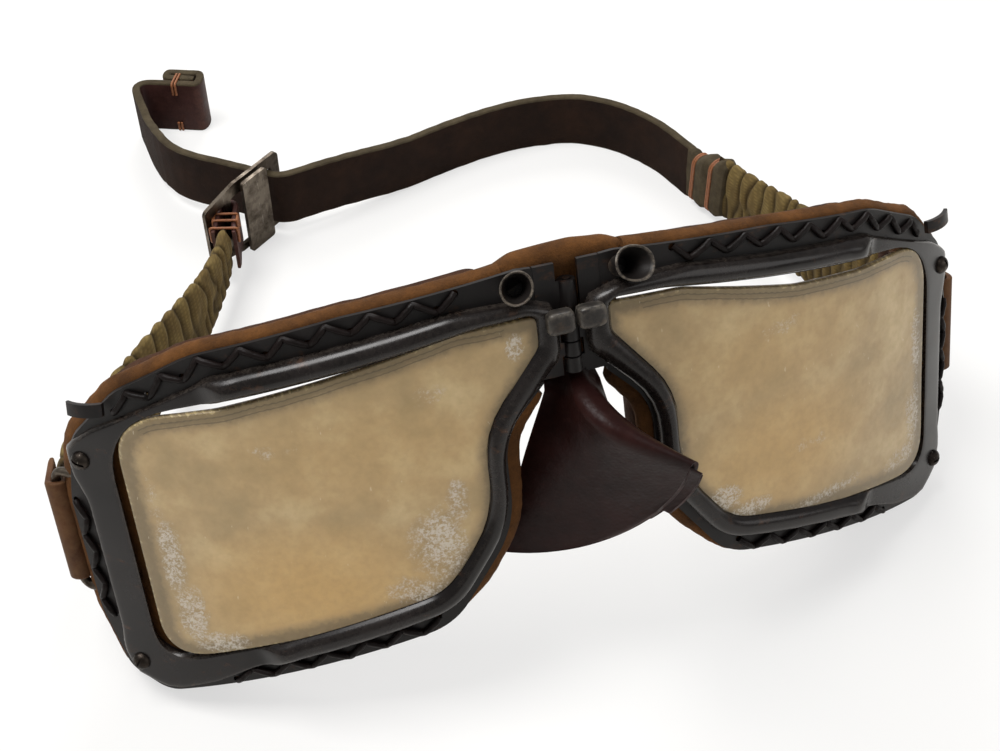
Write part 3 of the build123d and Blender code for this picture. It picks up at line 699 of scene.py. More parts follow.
@dataclass(frozen=True)
class Webbing:
    """Khaki cotton sleeve over elastic: matt weave, with painted shade in its gathers.

    It reads from the band how far out of a gather each point is, and uses that to darken the gathers as
    painted shade.
    """

    name: str = "khaki_cotton_webbing"
    cloth: str = "#5F4D2C"
    pale: str = "#78663D"
    # deep: the dark of the weave's gaps, and also the painted shade in the gathers
    deep: str = "#1E1409"
    thread_mm: float = 0.45

    def make(self) -> Material:
        """Builds the material.

        Returns:
            The material.
        """
        n = Nodes(self.name)
        fold = n.add("Attribute", out="Fac", attribute_name="fold")
        cloud = n.add("TexNoise", {0: n.place, **grain(5.0, 4.0, 0.6)})
        # The real threads are 0.3 mm apart; they are drawn a little coarser to show
        thread = {0: n.place, "Scale": 0.16 / (self.thread_mm * MM), "Distortion": 1.5}
        weft, warp = (n.add("TexWave", thread, 1, bands_direction=way) for way in "ZX")
        weave = n.add("Math", {0: weft, 1: warp}, **PRODUCT)
        base = colour(self.cloth)
        for source, limits, tint in (
            (cloud, span(0.3, 0.7), self.pale),
            (weave, span(0.0, 0.7, 0.25, 0.0), self.deep),
            # painted shade: where the fold is low, in the gathers, most of the colour turns to the dark one
            (fold, span(0.0, 0.7, 0.92, 0.0), self.deep),
        ):
            share = n.add("MapRange", {0: source, **limits})
            base = n.add("Mix", {0: share, 6: base, 7: colour(tint)}, **COLOURS)
        look = {"Base Color": base, "Roughness": 0.92, "Specular IOR Level": 0.2}
        return n.finish(look, weave, 0.4, 0.00015)


@dataclass(frozen=True)
class Thread:
    """Waxed linen thread: orange-tan, twisted, a little shiny."""

    name: str = "waxed_linen_thread"
    base: str = "#8E5630"
    fuzz: str = "#5C3620"

    def make(self) -> Material:
        """Builds the material.

        Returns:
            The material.
        """
        n = Nodes(self.name)
        fuzz = n.add("TexNoise", {0: n.place, **grain(0.5, 3.0, 0.6)})
        share = n.add("MapRange", {0: fuzz, **span(0.35, 0.7, 0.0, 0.6)})
        base = n.add("Mix", {0: share, 6: colour(self.base), 7: colour(self.fuzz)}, **COLOURS)
        return n.finish({"Base Color": base, "Roughness": 0.6}, fuzz, 0.4, 0.0001)


class Finish(Enum):
    """Each finish, by the pieces that wear it."""

    FRAME = LacqueredBrass("black_lacquered_brass_sheet", edges=0.0, rough=0.46)
    RIM = LacqueredBrass(
        "black_lacquered_brass_rim", "#0E0A09", "#1D1817", bright="#6E655C", wear=0.45, rough=0.22, edges=0.2
    )
    VENT = LacqueredBrass("black_lacquered_brass_vent", "#0F0C0B", "#211D1B", wear=0.5)
    HINGE = LacqueredBrass(
        "black_lacquered_brass_hinge", "#0D0A0A", "#1E1A19", wear=0.9, rough=0.38, edges=0.0
    )
    WORN = LacqueredBrass("rubbed_lacquered_brass", "#171413", "#2B2826", "#463526", "#9A9082", 0.8, 0.33)
    CELLULOID = Celluloid()
    SUEDE = Suede("orange_brown_suede", "#35200E", "#6B441F")
    LINING = Suede("brown_suede_padding", "#28150B", "#492C19")
    GUARD = Leather("dark_brown_cowhide", "#170908", "#281311", "#4E2C26", 0.36, 0.7, 0.3)
    LACE = Leather("blackened_leather_thong", "#0A0706", "#181110", "#241A17", 0.42, 0.5, 0.15)
    STRAP_FACE = Suede("dark_brown_strap_flesh_side", "#140B07", "#2C1B11", 3.2)
    STRAP_EDGE = Suede("olive_grey_cut_leather_edge", "#332B1F", "#544A38", 1.4)
    STRAP_GRAIN = Leather("oxblood_brown_strap_grain_side", "#281614", "#3C2422", "#5A3C33", 0.46)
    TAB = Leather("tan_brown_leather_tab", "#3A2215", "#5C3C25", "#6E5238", 0.55)
    WEBBING = Webbing()
    THREAD = Thread()
    NICKEL = BareMetal("dull_nickel_plate", "#6C6358", "#3A3129", 0.38)
    STEEL = BareMetal("dark_plated_steel", "#3A342F", "#211C19", 0.42)

    @cached_property
    def material(self) -> Material:
        """This finish's material, built when it is first asked for."""
        return self.value.make()


# Making meshes


def loft(
    name: str,
    rings: Sequence[Ring],
    finishes: Sequence[Finish],
    sharp: float = 50.0,
    loop: bool = False,
    slots: dict[int, int] | None = None,
    marks: dict[str, Sequence[Sequence[float]]] | None = None,
) -> Object:
    """Makes a piece of rings of equally many points, joined to a closed skin.

    Args:
        name: the piece's name.
        rings: the rings in order, their points in metres.
        finishes: its finishes in the order of their numbers.
        sharp: edges that turn by more than these degrees stay sharp.
        loop: whether the last ring joins the first; the two end rings are filled if not.
        slots: finish numbers of some points along a ring; the others then have number 1.
        marks: names of numbers kept on the points, with a row of them for each ring.

    Returns:
        The piece, at the origin.
    """
    size = len(rings[0])
    spans = len(rings) if loop else len(rings) - 1
    faces: list[tuple[int, ...]] = []
    numbers: list[int] = []
    for start in range(spans):
        low = start * size
        high = (start + 1) % len(rings) * size
        for place in range(size):
            after = (place + 1) % size
            faces.append((low + place, low + after, high + after, high + place))
            numbers.append(slots.get(place, 1) if slots else 0)
    if not loop:
        faces += [tuple(range(size))[::-1], tuple(range(spans * size, (spans + 1) * size))]
        numbers += [1, 1] if slots else [0, 0]
    mesh = bpy.data.meshes.new(name)
    mesh.from_pydata([tuple(point) for ring in rings for point in ring], [], faces)
    mesh.polygons.foreach_set("material_index", numbers)
    for mark, rows in (marks or {}).items():
        values = [value for row in rows for value in row]
        mesh.attributes.new(mark, "FLOAT", "POINT").data.foreach_set("value", values)
    bm = bmesh.new()
    bm.from_mesh(mesh)
    bmesh.ops.recalc_face_normals(bm, faces=bm.faces)
    bm.to_mesh(mesh)
    bm.free()
    return place_mesh(name, mesh, [finish.material for finish in finishes], sharp)


def shown(name: str, data: bpy.types.ID) -> Object:
    """Puts a mesh, lamp or camera in the scene as an object.

    Args:
        name: the object's name.
        data: what it shows.

    Returns:
        The object, at the origin.
    """
    piece = bpy.data.objects.new(name, data)
    bpy.context.scene.collection.objects.link(piece)
    return piece


def place_mesh(
    name: str, mesh: bpy.types.Mesh, materials: Sequence[Material], sharp: float = 50.0
) -> Object:
    """Puts a mesh in the scene, smooth but for its sharp edges.

    Args:
        name: the object's name.
        mesh: the mesh, in metres.
        materials: its materials.
        sharp: edges that turn by more than these degrees stay sharp.

    Returns:
        The object.
    """
    for material in materials:
        mesh.materials.append(material)
    mesh.shade_smooth()
    mesh.set_sharp_from_angle(angle=math.radians(sharp))
    return shown(name, mesh)


def settle(piece: Object, body: str, slot: str, *nodes: str) -> Object:
    """Gives a finished piece its body and hides the nodes that it stands for.

    Args:
        piece: the finished piece.
        body: the body that it rides on.
        slot: a material slot's name; not used.
        nodes: the nodes that it replaces.

    Returns:
        The same piece.
    """
    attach(piece, body)
    if nodes:
        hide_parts(*nodes)
    LOG.info("%s: %d faces, on %s", piece.name, len(piece.data.polygons), body)
    return piece


def subdivide(piece: Object, levels: int = 1) -> None:
    """Gives a piece a subdivision surface, the same in view and render.

    Args:
        piece: the object.
        levels: how often each face is cut in four.
    """
    modifier = piece.modifiers.new("smooth", "SUBSURF")
    modifier.levels = levels
    modifier.render_levels = levels


def sweep_frames(points: list[Vector], up: Vector) -> list[tuple[Vector, Vector, Vector]]:
    """Ways along, across and up at each point of a path.

    Args:
        points: the path.
        up: the way that stays nearest to upright.

    Returns:
        One (along, across, up) for each point.
    """
    frames = []
    last = len(points) - 1
    for index in range(len(points)):
        along = (points[min(index + 1, last)] - points[max(index - 1, 0)]).normalized()
        across = along.cross(up).normalized()
        frames.append((along, across, across.cross(along).normalized()))
    return frames


def rounded_box_ring(wide: float, tall: float, corner: float, steps: int = 3) -> list[Point2]:
    """Points of a rounded rectangle about its middle, anticlockwise from its right side.

    Args:
        wide: its width.
        tall: its height.
        corner: the corners' radius.
        steps: segments in each corner.

    Returns:
        The points.
    """
    ring: list[Point2] = []
    corner = min(corner, wide / 2 - 1e-4, tall / 2 - 1e-4)
    for quarter, (across, up) in enumerate(((1, 1), (-1, 1), (-1, -1), (1, -1))):
        middle = (across * (wide / 2 - corner), up * (tall / 2 - corner))
        for step in range(steps + 1):
            angle = math.pi / 2 * (quarter + step / steps)
            ring.append((middle[0] + corner * math.cos(angle), middle[1] + corner * math.sin(angle)))
    return ring


# Geometry Nodes


class NodeTool(Tree):
    """A Geometry Nodes tree with named inputs, used to make plain meshes."""

    def __init__(self, name: str, inputs: dict[str, float]) -> None:
        """Starts the tree with its geometry, its material and its sizes.

        Args:
            name: the tree's name.
            inputs: name and starting value of each size.
        """
        super().__init__(bpy.data.node_groups.new(name, "GeometryNodeTree"))
        sockets = self.tree.interface
        sockets.new_socket("Geometry", in_out="INPUT", socket_type="NodeSocketGeometry")
        paint = sockets.new_socket("Material", in_out="INPUT", socket_type="NodeSocketMaterial")
        self.keys = {"Material": paint.identifier}
        for label, value in inputs.items():
            socket = sockets.new_socket(label, in_out="INPUT", socket_type="NodeSocketFloat")
            socket.default_value = value
            self.keys[label] = socket.identifier
        sockets.new_socket("Geometry", in_out="OUTPUT", socket_type="NodeSocketGeometry")
        self.given = self.tree.nodes.new("NodeGroupInput").outputs

    def end(self, geometry: Socket) -> None:
        """Ends the tree in Realize Instances and Set Material.

        Args:
            geometry: what the tree has made.
        """
        real = self.add("GeometryNodeRealizeInstances", {0: geometry})
        painted = self.add("GeometryNodeSetMaterial", {"Geometry": real, "Material": self.given["Material"]})
        self.add("NodeGroupOutput", {0: painted})

    def run(self, name: str, mesh: bpy.types.Mesh, finish: Finish, **sizes: float) -> Object:
        """Runs the tree on a mesh.

        Args:
            name: the new piece's name.
            mesh: the mesh that the tree starts from.
            finish: the finish of what it makes.
            sizes: the tree's other inputs by their names.

        Returns:
            A piece that holds the result as a plain mesh.
        """
        seed = shown(name + "_path", mesh)
        modifier = seed.modifiers.new("make", "NODES")
        modifier.node_group = self.tree
        modifier[self.keys["Material"]] = finish.material
        for label, value in sizes.items():
            modifier[self.keys[label]] = value
        graph = bpy.context.evaluated_depsgraph_get()
        made = bpy.data.meshes.new_from_object(seed.evaluated_get(graph))
        bpy.data.objects.remove(seed)
        made.name = name
        return place_mesh(name, made, [] if made.materials else [finish.material])


class ThongTool(NodeTool):
    """Sweeps a soft round thong or thread along runs of edges."""

    def __init__(self) -> None:
        """Builds the tree: edges to curve, rounded corners, uneven thickness, sweep."""
        sizes = {"Thickness": 0.0006, "Corner": 0.0006, "Unevenness": 0.15, "Seed": 1.0}
        super().__init__("thong_along_a_run", sizes)
        curve = self.add("GeometryNodeMeshToCurve", {"Mesh": self.given["Geometry"]})
        rounding = {"Curve": curve, "Radius": self.given["Corner"], "Count": 5}
        bent = self.add("GeometryNodeFilletCurve", rounding, mode="POLY")
        even = self.add("GeometryNodeResampleCurve", {"Curve": bent, "Length": 0.00035}, mode="LENGTH")
        place = self.add("GeometryNodeInputPosition")
        pattern = {"Vector": place, "Scale": 700.0, "W": self.given["Seed"]}
        lumps = self.add("TexNoise", pattern, noise_dimensions="4D")
        centred = self.add("Math", {0: lumps, 1: 0.5}, operation="SUBTRACT")
        swell = self.add("Math", {0: centred, 1: self.given["Unevenness"], 2: 1.0}, operation="MULTIPLY_ADD")
        radius = self.add("Math", {0: swell, 1: self.given["Thickness"]}, **PRODUCT)
        fat = self.add("GeometryNodeSetCurveRadius", {"Curve": even, "Radius": radius})
        ring = self.add("GeometryNodeCurvePrimitiveCircle", {"Resolution": 8, "Radius": 1.0})
        sweep = {"Curve": fat, "Profile Curve": ring, "Fill Caps": True, "Scale": radius}
        self.end(self.add("GeometryNodeCurveToMesh", sweep))


class ScrewTool(NodeTool):
    """Puts slotted dome heads on points, turned to the point's own axis."""

    def __init__(self) -> None:
        """Builds the tree: a dome with its slot cut out, one on each point."""
        super().__init__("slotted_dome_on_each_point", {"Radius": 0.0018, "Flatness": 0.8, "Slot": 0.0005})
        round_head = {"Segments": 32, "Rings": 20, "Radius": self.given["Radius"]}
        ball = self.add("GeometryNodeMeshUVSphere", round_head)
        squat = self.add("CombineXYZ", {0: 1.0, 1: 1.0, 2: self.given["Flatness"]})
        dome = self.add("GeometryNodeTransform", {"Geometry": ball, "Scale": squat})
        groove_size = self.add("CombineXYZ", {0: self.given["Slot"], 1: 0.01, 2: 0.0013})
        groove = self.add("GeometryNodeMeshCube", {"Size": groove_size})
        raised = self.add("GeometryNodeTransform", {"Geometry": groove, "Translation": (0.0, 0.0, 0.0016)})
        cut = self.add("GeometryNodeMeshBoolean", {0: dome, 1: raised}, operation="DIFFERENCE")
        axis = self.add("GeometryNodeInputNamedAttribute", {"Name": "axis"}, data_type="FLOAT_VECTOR")
        turned = self.add("FunctionNodeAlignRotationToVector", {"Vector": axis}, axis="Z")
        spin = self.add("GeometryNodeInputNamedAttribute", {"Name": "spin"}, data_type="FLOAT")
        twist = self.add("FunctionNodeAxisAngleToRotation", {"Angle": spin, "Axis": (0.0, 0.0, 1.0)})
        both = self.add("FunctionNodeRotateRotation", {0: turned, 1: twist}, rotation_space="LOCAL")
        heads = {"Points": self.given["Geometry"], "Instance": cut, "Rotation": both}
        self.end(self.add("GeometryNodeInstanceOnPoints", heads))


def run_of_edges(runs: Sequence[Sequence[Vector]]) -> bpy.types.Mesh:
    """A mesh of edges that follow some runs of points.

    Args:
        runs: the runs, in metres.

    Returns:
        The mesh.
    """
    points: list[tuple[float, ...]] = []
    edges: list[tuple[int, int]] = []
    for run in runs:
        start = len(points)
        points.extend(tuple(point) for point in run)
        edges.extend((start + place, start + place + 1) for place in range(len(run) - 1))
    mesh = bpy.data.meshes.new("run")
    mesh.from_pydata(points, edges, [])
    return mesh


# The frames


@dataclass
class Rim:
    """The raised channel that holds a lens, flattened to a plate at the temple."""

    side: Side
    bead_tall: float = 3.0
    plate_tall: float = 1.3
    bead_end: float = 63.5
    sheet: float = 0.8
    seat: float = 1.72
    dent: float = 0.06
    widest: float = 14.0

    def profile(self, share: float, tall: float, plate: float) -> float:
        """Height of the rim's front at a share of its width from the lens.

        Args:
            share: 0 at the lens and 1 at the rim's outer edge.
            tall: the rim's full height here.
            plate: 0 where the rim is a bead and 1 where it is a plate.

        Returns:
            The height above the face, in millimetres.
        """
        power = mix(2.3, 9.0, plate)
        skewed = share ** mix(0.86, 1.0, plate)
        height = tall * max(1 - abs(2 * skewed - 1) ** power, 0.0) ** (1 / power)
        low = mix(self.seat, 0.25, plate) * (1 - smooth(share, 0.0, 0.3))
        return max(height, low)

    def build(self) -> Object:
        """Sweeps the rim round the lens opening.

        Returns:
            The rim.
        """
        inner = OPENING.dense()
        bead_wall = BEAD_EDGE.dense()
        plate_wall = PLATE_EDGE.dense()
        shares = [0.0, 0.03, 0.08, 0.15, 0.24, 0.34, 0.45, 0.56, 0.67, 0.77, 0.86, 0.93, 0.975, 1.0]
        rings: list[Ring] = []
        for index, point in enumerate(inner):
            way = outward(inner, index)
            plate = smooth(point.x, self.bead_end - 2.0, self.bead_end + 2.2)
            wide = reach_to(point, way, bead_wall, self.widest - 2.0)
            if plate > 0:
                wide = mix(wide, reach_to(point, way, plate_wall, self.widest), plate)
            lump = 0.35 * math.exp(-(((point.x - self.bead_end + 2.5) / 2.2) ** 2))
            tall = mix(self.bead_tall, self.plate_tall, plate) + lump * (1 - plate)
            tops = [(share, self.profile(share, tall, plate)) for share in shares]
            unders = [(share, max(height - self.sheet, 0.0)) for share, height in tops[-2::-1]]
            ring = []
            for share, height in tops + unders:
                flat = point + way * (wide * share)
                dent = self.dent * self.side.ruffle(flat, 7.0, 9.0)
                ring.append(self.side.behind(flat, -max(height + dent * (height > 0.9), 0.0)))
            rings.append(ring)
        piece = loft(self.side.node("rim_channel"), rings, [Finish.RIM], 60.0, loop=True)
        return settle(piece, self.side.body, "rim_lacquer", self.side.node("front_rim"))


@dataclass(frozen=True)
class Patch:
    """A soft patch on a lens: middle, half sizes in millimetres, and strength."""

    x: float
    z: float
    half_x: float
    half_z: float
    strength: float

    def at(self, x: float, z: float) -> float:
        """The patch's strength at a place."""
        away = ((x - self.x) / self.half_x) ** 2 + ((z - self.z) / self.half_z) ** 2
        return self.strength * max(1 - away, 0.0)


CRUSTS: dict[Side, list[Patch]] = {
    Side.LEFT: [
        Patch(77.2, -24.0, 1.8, 9.0, 0.45),
        Patch(76.6, -38.0, 2.2, 13.0, 0.95),
        Patch(75.4, -50.0, 3.0, 9.0, 1.0),
        Patch(71.5, -56.0, 7.0, 3.0, 0.8),
        Patch(29.5, -38.0, 6.5, 9.0, 0.95),
        Patch(34.0, -47.0, 7.0, 4.0, 0.75),
        Patch(24.5, -29.0, 2.6, 6.0, 0.8),
        Patch(11.0, -1.0, 2.0, 3.2, 0.8),
        Patch(27.0, -7.0, 4.0, 2.0, 0.35),
        Patch(55.0, -15.0, 5.0, 1.5, 0.3),
    ],
    Side.RIGHT: [
        Patch(79.0, -30.0, 1.8, 12.0, 0.8),
        Patch(78.2, -46.0, 2.8, 10.0, 1.0),
        Patch(74.0, -54.5, 6.0, 2.6, 0.85),
        Patch(27.5, -43.5, 4.8, 3.6, 0.95),
        Patch(33.0, -47.5, 6.0, 2.6, 0.7),
        Patch(50.0, -52.0, 14.0, 1.6, 0.6),
        Patch(42.0, -11.0, 7.0, 1.8, 0.4),
        Patch(50.0, -38.0, 9.0, 2.4, 0.28),
    ],
}
GLOWS: dict[Side, list[Patch]] = {
    Side.LEFT: [Patch(52.0, -46.0, 26.0, 18.0, 0.75), Patch(40.0, -18.0, 30.0, 12.0, 0.25)],
    Side.RIGHT: [Patch(42.0, -38.0, 24.0, 16.0, 0.6), Patch(40.0, -16.0, 26.0, 12.0, 0.3)],
}


@dataclass
class Lens:
    """A curved celluloid sheet, its top edge sagged out of the rim."""

    side: Side
    front: float = 1.65
    back: float = 0.15
    middle: Point2 = (50.0, -30.0)
    swell: float = 0.18
    worn_front: float = 0.45
    worn_back: float = 0.3
    layer_gap: float = 0.95
    no_layer: float = 9.0
    edge_bands: Sequence[float] = (
        0, 0.006, 0.014, 0.024, 0.036, 0.05, 0.066, 0.084, 0.104, 0.13, 0.16, 0.2, 0.245,
    )  # fmt: skip
    middle_bands: Sequence[float] = tuple(0.3 + 0.0565 * step for step in range(13))
    back_bands: Sequence[float] = (0, 0.012, 0.1, 0.3, 0.6, 0.85, 0.98)

    def layer(self, out: float, bands: Sequence[float], border: list[Vector]) -> list[list[Vector]]:
        """Rings from the border towards the middle of one face.

        Args:
            out: the face's height over the frames' face.
            bands: how far towards the middle each ring lies, from 0 to 1.
            border: the lens's edge.

        Returns:
            Rings of (x, z, out).
        """
        middle = Vector(self.middle)
        return [[Vector((*point.lerp(middle, share), out)) for point in border] for share in bands]

    def marks(self, places: list[list[Vector]], border: list[Vector]) -> dict[str, list[list[float]]]:
        """The numbers that the material reads.

        Args:
            places: rings of (x, z, out).
            border: the lens's edge.

        Returns:
            Distance from the edge, crust, layer lines and glow, a row for each ring.
        """
        rows: dict[str, list[list[float]]] = {name: [] for name in ("edge", "crust", "layers", "glow")}
        sampled = border[::2]
        for ring in places:
            for kept in rows.values():
                kept.append([])
            for place in ring:
                near = min(sampled, key=lambda spot: (spot.x - place.x) ** 2 + (spot.y - place.y) ** 2)
                gap = math.hypot(near.x - place.x, near.y - place.y)
                rough = self.side.ruffle(place, 5.0, 5.0)
                fine = self.side.ruffle(place, 1.9, 31.0)
                crust = max(patch.at(place.x, place.y) for patch in CRUSTS[self.side])
                glow = max(patch.at(place.x, place.y) for patch in GLOWS[self.side])
                crust = crust * (1.05 + 0.9 * rough) + 0.25 * fine * (crust > 0.02)
                on_top = 12 < near.x < 79 and near.y > -9.5
                rows["edge"][-1].append(gap)
                rows["crust"][-1].append(min(max(crust, 0.0), 1.0))
                rows["layers"][-1].append(gap / self.layer_gap + 0.25 * rough if on_top else self.no_layer)
                rows["glow"][-1].append(min(glow, 1.0))
        return rows

    def build(self) -> Object:
        """Makes the sheet with its worn edge.

        Returns:
            The lens.
        """
        border = LENS_EDGES[self.side].dense()
        front = self.layer(self.front, (*self.edge_bands, *self.middle_bands), border)
        back = self.layer(self.back, self.back_bands, border)
        front[0] = [Vector((place.x, place.y, self.front - self.worn_front)) for place in front[0]]
        back[0] = [Vector((place.x, place.y, self.back + self.worn_back)) for place in back[0]]
        places = front[::-1] + back
        rings = []
        for ring in places:
            placed = []
            for place in ring:
                swell = self.swell * self.side.ruffle(place, 16.0, 3.0)
                placed.append(self.side.behind(place, -(place.z + swell * (place.z > 1))))
            rings.append(placed)
        marks = self.marks(places, border)
        piece = loft(self.side.node("celluloid_lens"), rings, [Finish.CELLULOID], 70.0, marks=marks)
        return settle(piece, self.side.body, "celluloid", self.side.node("lens"))


@dataclass
class Lacing:
    """Leather thong that zigzags over the flange from hole to hole."""

    side: Side
    pitch: float = 7.4
    thickness: float = 0.62
    lift: float = 0.55
    routes: Sequence[tuple[list[Point2], Point2, float]] = field(
        default_factory=lambda: [
            ([(20, 10.4), (40, 8.1), (66, 3.0), (81, -5.2)], (-0.2, -0.98), 2.6),
            ([(91.5, -27.0), (91.3, -53.0)], (-1.0, 0.0), 1.3),
            ([(70.0, -66.3), (30.5, -56.7)], (0.22, 0.97), 2.3),
        ]
    )

    def run(self, route: list[Point2], towards: Point2, reach: float) -> list[Vector]:
        """Points of one zigzag, in metres where it stands.

        Args:
            route: the run of the outer holes, in (x, z).
            towards: the way to the lens.
            reach: how far the inner holes are from the outer ones.

        Returns:
            The thong's points, which dip at the holes.
        """
        corners = [Vector(corner) for corner in route]
        lengths = [0.0]
        for first, second in zip(corners, corners[1:]):
            lengths.append(lengths[-1] + (second - first).length)
        steps = round(lengths[-1] / (self.pitch / 2))
        knots = []
        for step in range(steps + 1):
            goal = lengths[-1] * step / steps
            place = max(index for index in range(len(corners) - 1) if lengths[index] <= goal + 1e-6)
            share = (goal - lengths[place]) / (lengths[place + 1] - lengths[place])
            spot = corners[place].lerp(corners[place + 1], share)
            inset = reach * (0.9 + 0.18 * ruffle(Vector((spot.x, spot.y, 2.0)), 6.0)) if step % 2 else -0.25
            slip = 0.35 * self.side.ruffle(spot, 4.0, 7.0)
            knots.append(spot + Vector(towards) * inset + Vector((towards[1], -towards[0])) * slip)
        points = []
        for index, knot in enumerate(knots):
            points.append(self.side.behind(knot, -0.1))
            if index < len(knots) - 1:
                for share in (0.22, 0.78):
                    points.append(self.side.behind(knot.lerp(knots[index + 1], share), -self.lift))
        return points

    def build(self, tool: ThongTool) -> Object:
        """Sweeps the thongs.

        Args:
            tool: the tree that sweeps them.

        Returns:
            All of this side's lacing.
        """
        mesh = run_of_edges([self.run(*route) for route in self.routes])
        sizes = {"Thickness": self.thickness * MM, "Corner": 0.0003, "Unevenness": 0.5}
        piece = tool.run(self.side.node("lacing_thong"), mesh, Finish.LACE, **sizes)
        return settle(piece, self.side.body, "leather_lace", self.side.node("lacing"))


@dataclass
class Screws:
    """The two slotted dome heads on a temple plate."""

    side: Side
    places: Sequence[Point2] = ((88.5, -17.2), (87.0, -62.7))
    radius: float = 1.9

    def build(self, tool: ScrewTool) -> Object:
        """Puts the heads on the plate.

        Args:
            tool: the tree that makes them.

        Returns:
            Both screws of this side.
        """
        spots, axes = [], []
        for x, z in self.places:
            foot, head = (self.side.stand(WRAP.spot(x - 0.6, z, out)) for out in (1.2, 2.2))
            spots.append(foot)
            axes.append((head - foot).normalized())
        mesh = run_of_edges([[spot] for spot in spots])
        axis = mesh.attributes.new("axis", "FLOAT_VECTOR", "POINT")
        axis.data.foreach_set("vector", [number for way in axes for number in way])
        mesh.attributes.new("spin", "FLOAT", "POINT").data.foreach_set("value", [0.7, 2.1])
        piece = tool.run(self.side.node("dome_screws"), mesh, Finish.STEEL, Radius=self.radius * MM)
        return settle(piece, self.side.body, "plated_screws", self.side.node("rim_screws"))


@dataclass
class Trumpet:
    """A small flared air vent that stands on the flange beside the bridge."""

    side: Side
    foot: Point2 = (9.6, 9.4)
    axis: tuple[float, float, float] = (0.16, -0.90, 0.36)
    throat: float = 1.9
    mouth: float = 3.7
    long: float = 6.6
    wall: float = 0.45
    around: int = 48

    def ring(self, radius: float, along: float, lip: float) -> Ring:
        """One ring of the trumpet.

        Args:
            radius: its radius.
            along: its distance from the flange.
            lip: 1 at the mouth, where the edge is uneven, and 0 lower down.

        Returns:
            The ring's points in metres.
        """
        base = WRAP.spot(*self.foot)
        axis = Vector(self.axis).normalized()
        first = axis.cross(Vector((0, 0, 1))).normalized()
        second = axis.cross(first)
        squeeze = 0.86 if self.side is Side.LEFT else 1.1
        points = []
        for step in range(self.around):
            angle = math.tau * step / self.around
            wave = 0.55 * math.cos(angle - 0.6) + 0.22 * math.cos(3 * angle + 1.1 * self.side.hand)
            pressed = mix(1.0, squeeze, lip)
            wide = radius * (1 + lip * 0.08 * math.cos(2 * angle + 0.7)) * pressed
            spot = base + first * (wide * math.cos(angle)) + second * (wide * math.sin(angle) / pressed)
            spot += axis * (along + lip * wave)
            points.append(self.side.stand(spot))
        return points

    def build(self) -> Object:
        """Spins the trumpet and turns its lip out.

        Returns:
            The trumpet.
        """
        steps = 12
        outer, inner = [], []
        mouth = self.mouth - (0.45 if self.side is Side.LEFT else 0.15)
        for step in range(steps + 1):
            share = step / steps
            radius = self.throat + (mouth - self.throat) * smooth(share, 0.25, 1.08) ** 1.2
            outer.append((radius, share * self.long, share**3))
            inner.append((max(radius - self.wall, 0.6), share * self.long, share**3))
        lip_radius = mouth - self.wall / 2
        rings = [self.ring(*row) for row in outer]
        rings.append(self.ring(lip_radius, self.long + 0.16, 1.0))
        rings.extend(self.ring(*row) for row in inner[::-1])
        piece = loft(self.side.node("vent_cup"), rings, [Finish.VENT], 60.0)
        return settle(piece, self.side.body, "vent_lacquer", self.side.node("vent_trumpet"))


@dataclass
class Catch:
    """The pillow-shaped block at the rim's tip, rubbed bright on its edges."""

    side: Side
    size: tuple[float, float, float] = (5.2, 3.4, 4.1)
    centre: tuple[float, float, float] = (2.9, -3.9, 2.8)
    power: float = 0.42

    def build(self) -> Object:
        """Makes the block as a squared-off ball.

        Returns:
            The block.
        """
        rings = []
        rows = 20
        for row in range(1, rows):
            low = math.pi * (row / rows - 0.5)
            ring = []
            for step in range(40):
                turn = math.tau * step / 40
                level = squared(math.cos(low), self.power)
                x = self.centre[0] + self.size[0] / 2 * level * squared(math.cos(turn), self.power)
                z = self.centre[2] + self.size[2] / 2 * level * squared(math.sin(turn), self.power)
                y = self.centre[1] + self.size[1] / 2 * squared(math.sin(low), self.power)
                bow = 0.03 * (x - self.centre[0]) ** 2
                ring.append(stood(x, y + bow, z, self.side.hand))
            rings.append(ring)
        piece = loft(self.side.node("catch_block"), rings, [Finish.WORN], 75.0)
        return settle(piece, self.side.body, "worn_brass", self.side.node("bridge_catch"))


# Masks, padding and the guard


def mask_run(outline: Outline, start: float, tuck: float = 0.0) -> tuple[list[Vector], list[Vector]]:
    """The part of an outline beyond a distance from the bridge, with its outward ways.

    Args:
        outline: the outline, which starts and ends at the bridge.
        start: the least x that is kept.
        tuck: how much further the run goes beside the nose.

    Returns:
        The points and their outward ways.
    """
    dense = outline.dense()
    kept = [index for index, point in enumerate(dense) if point.x >= (start if point.y > -5 else start - tuck)]
    return [dense[index] for index in kept], [outward(dense, index) for index in kept]


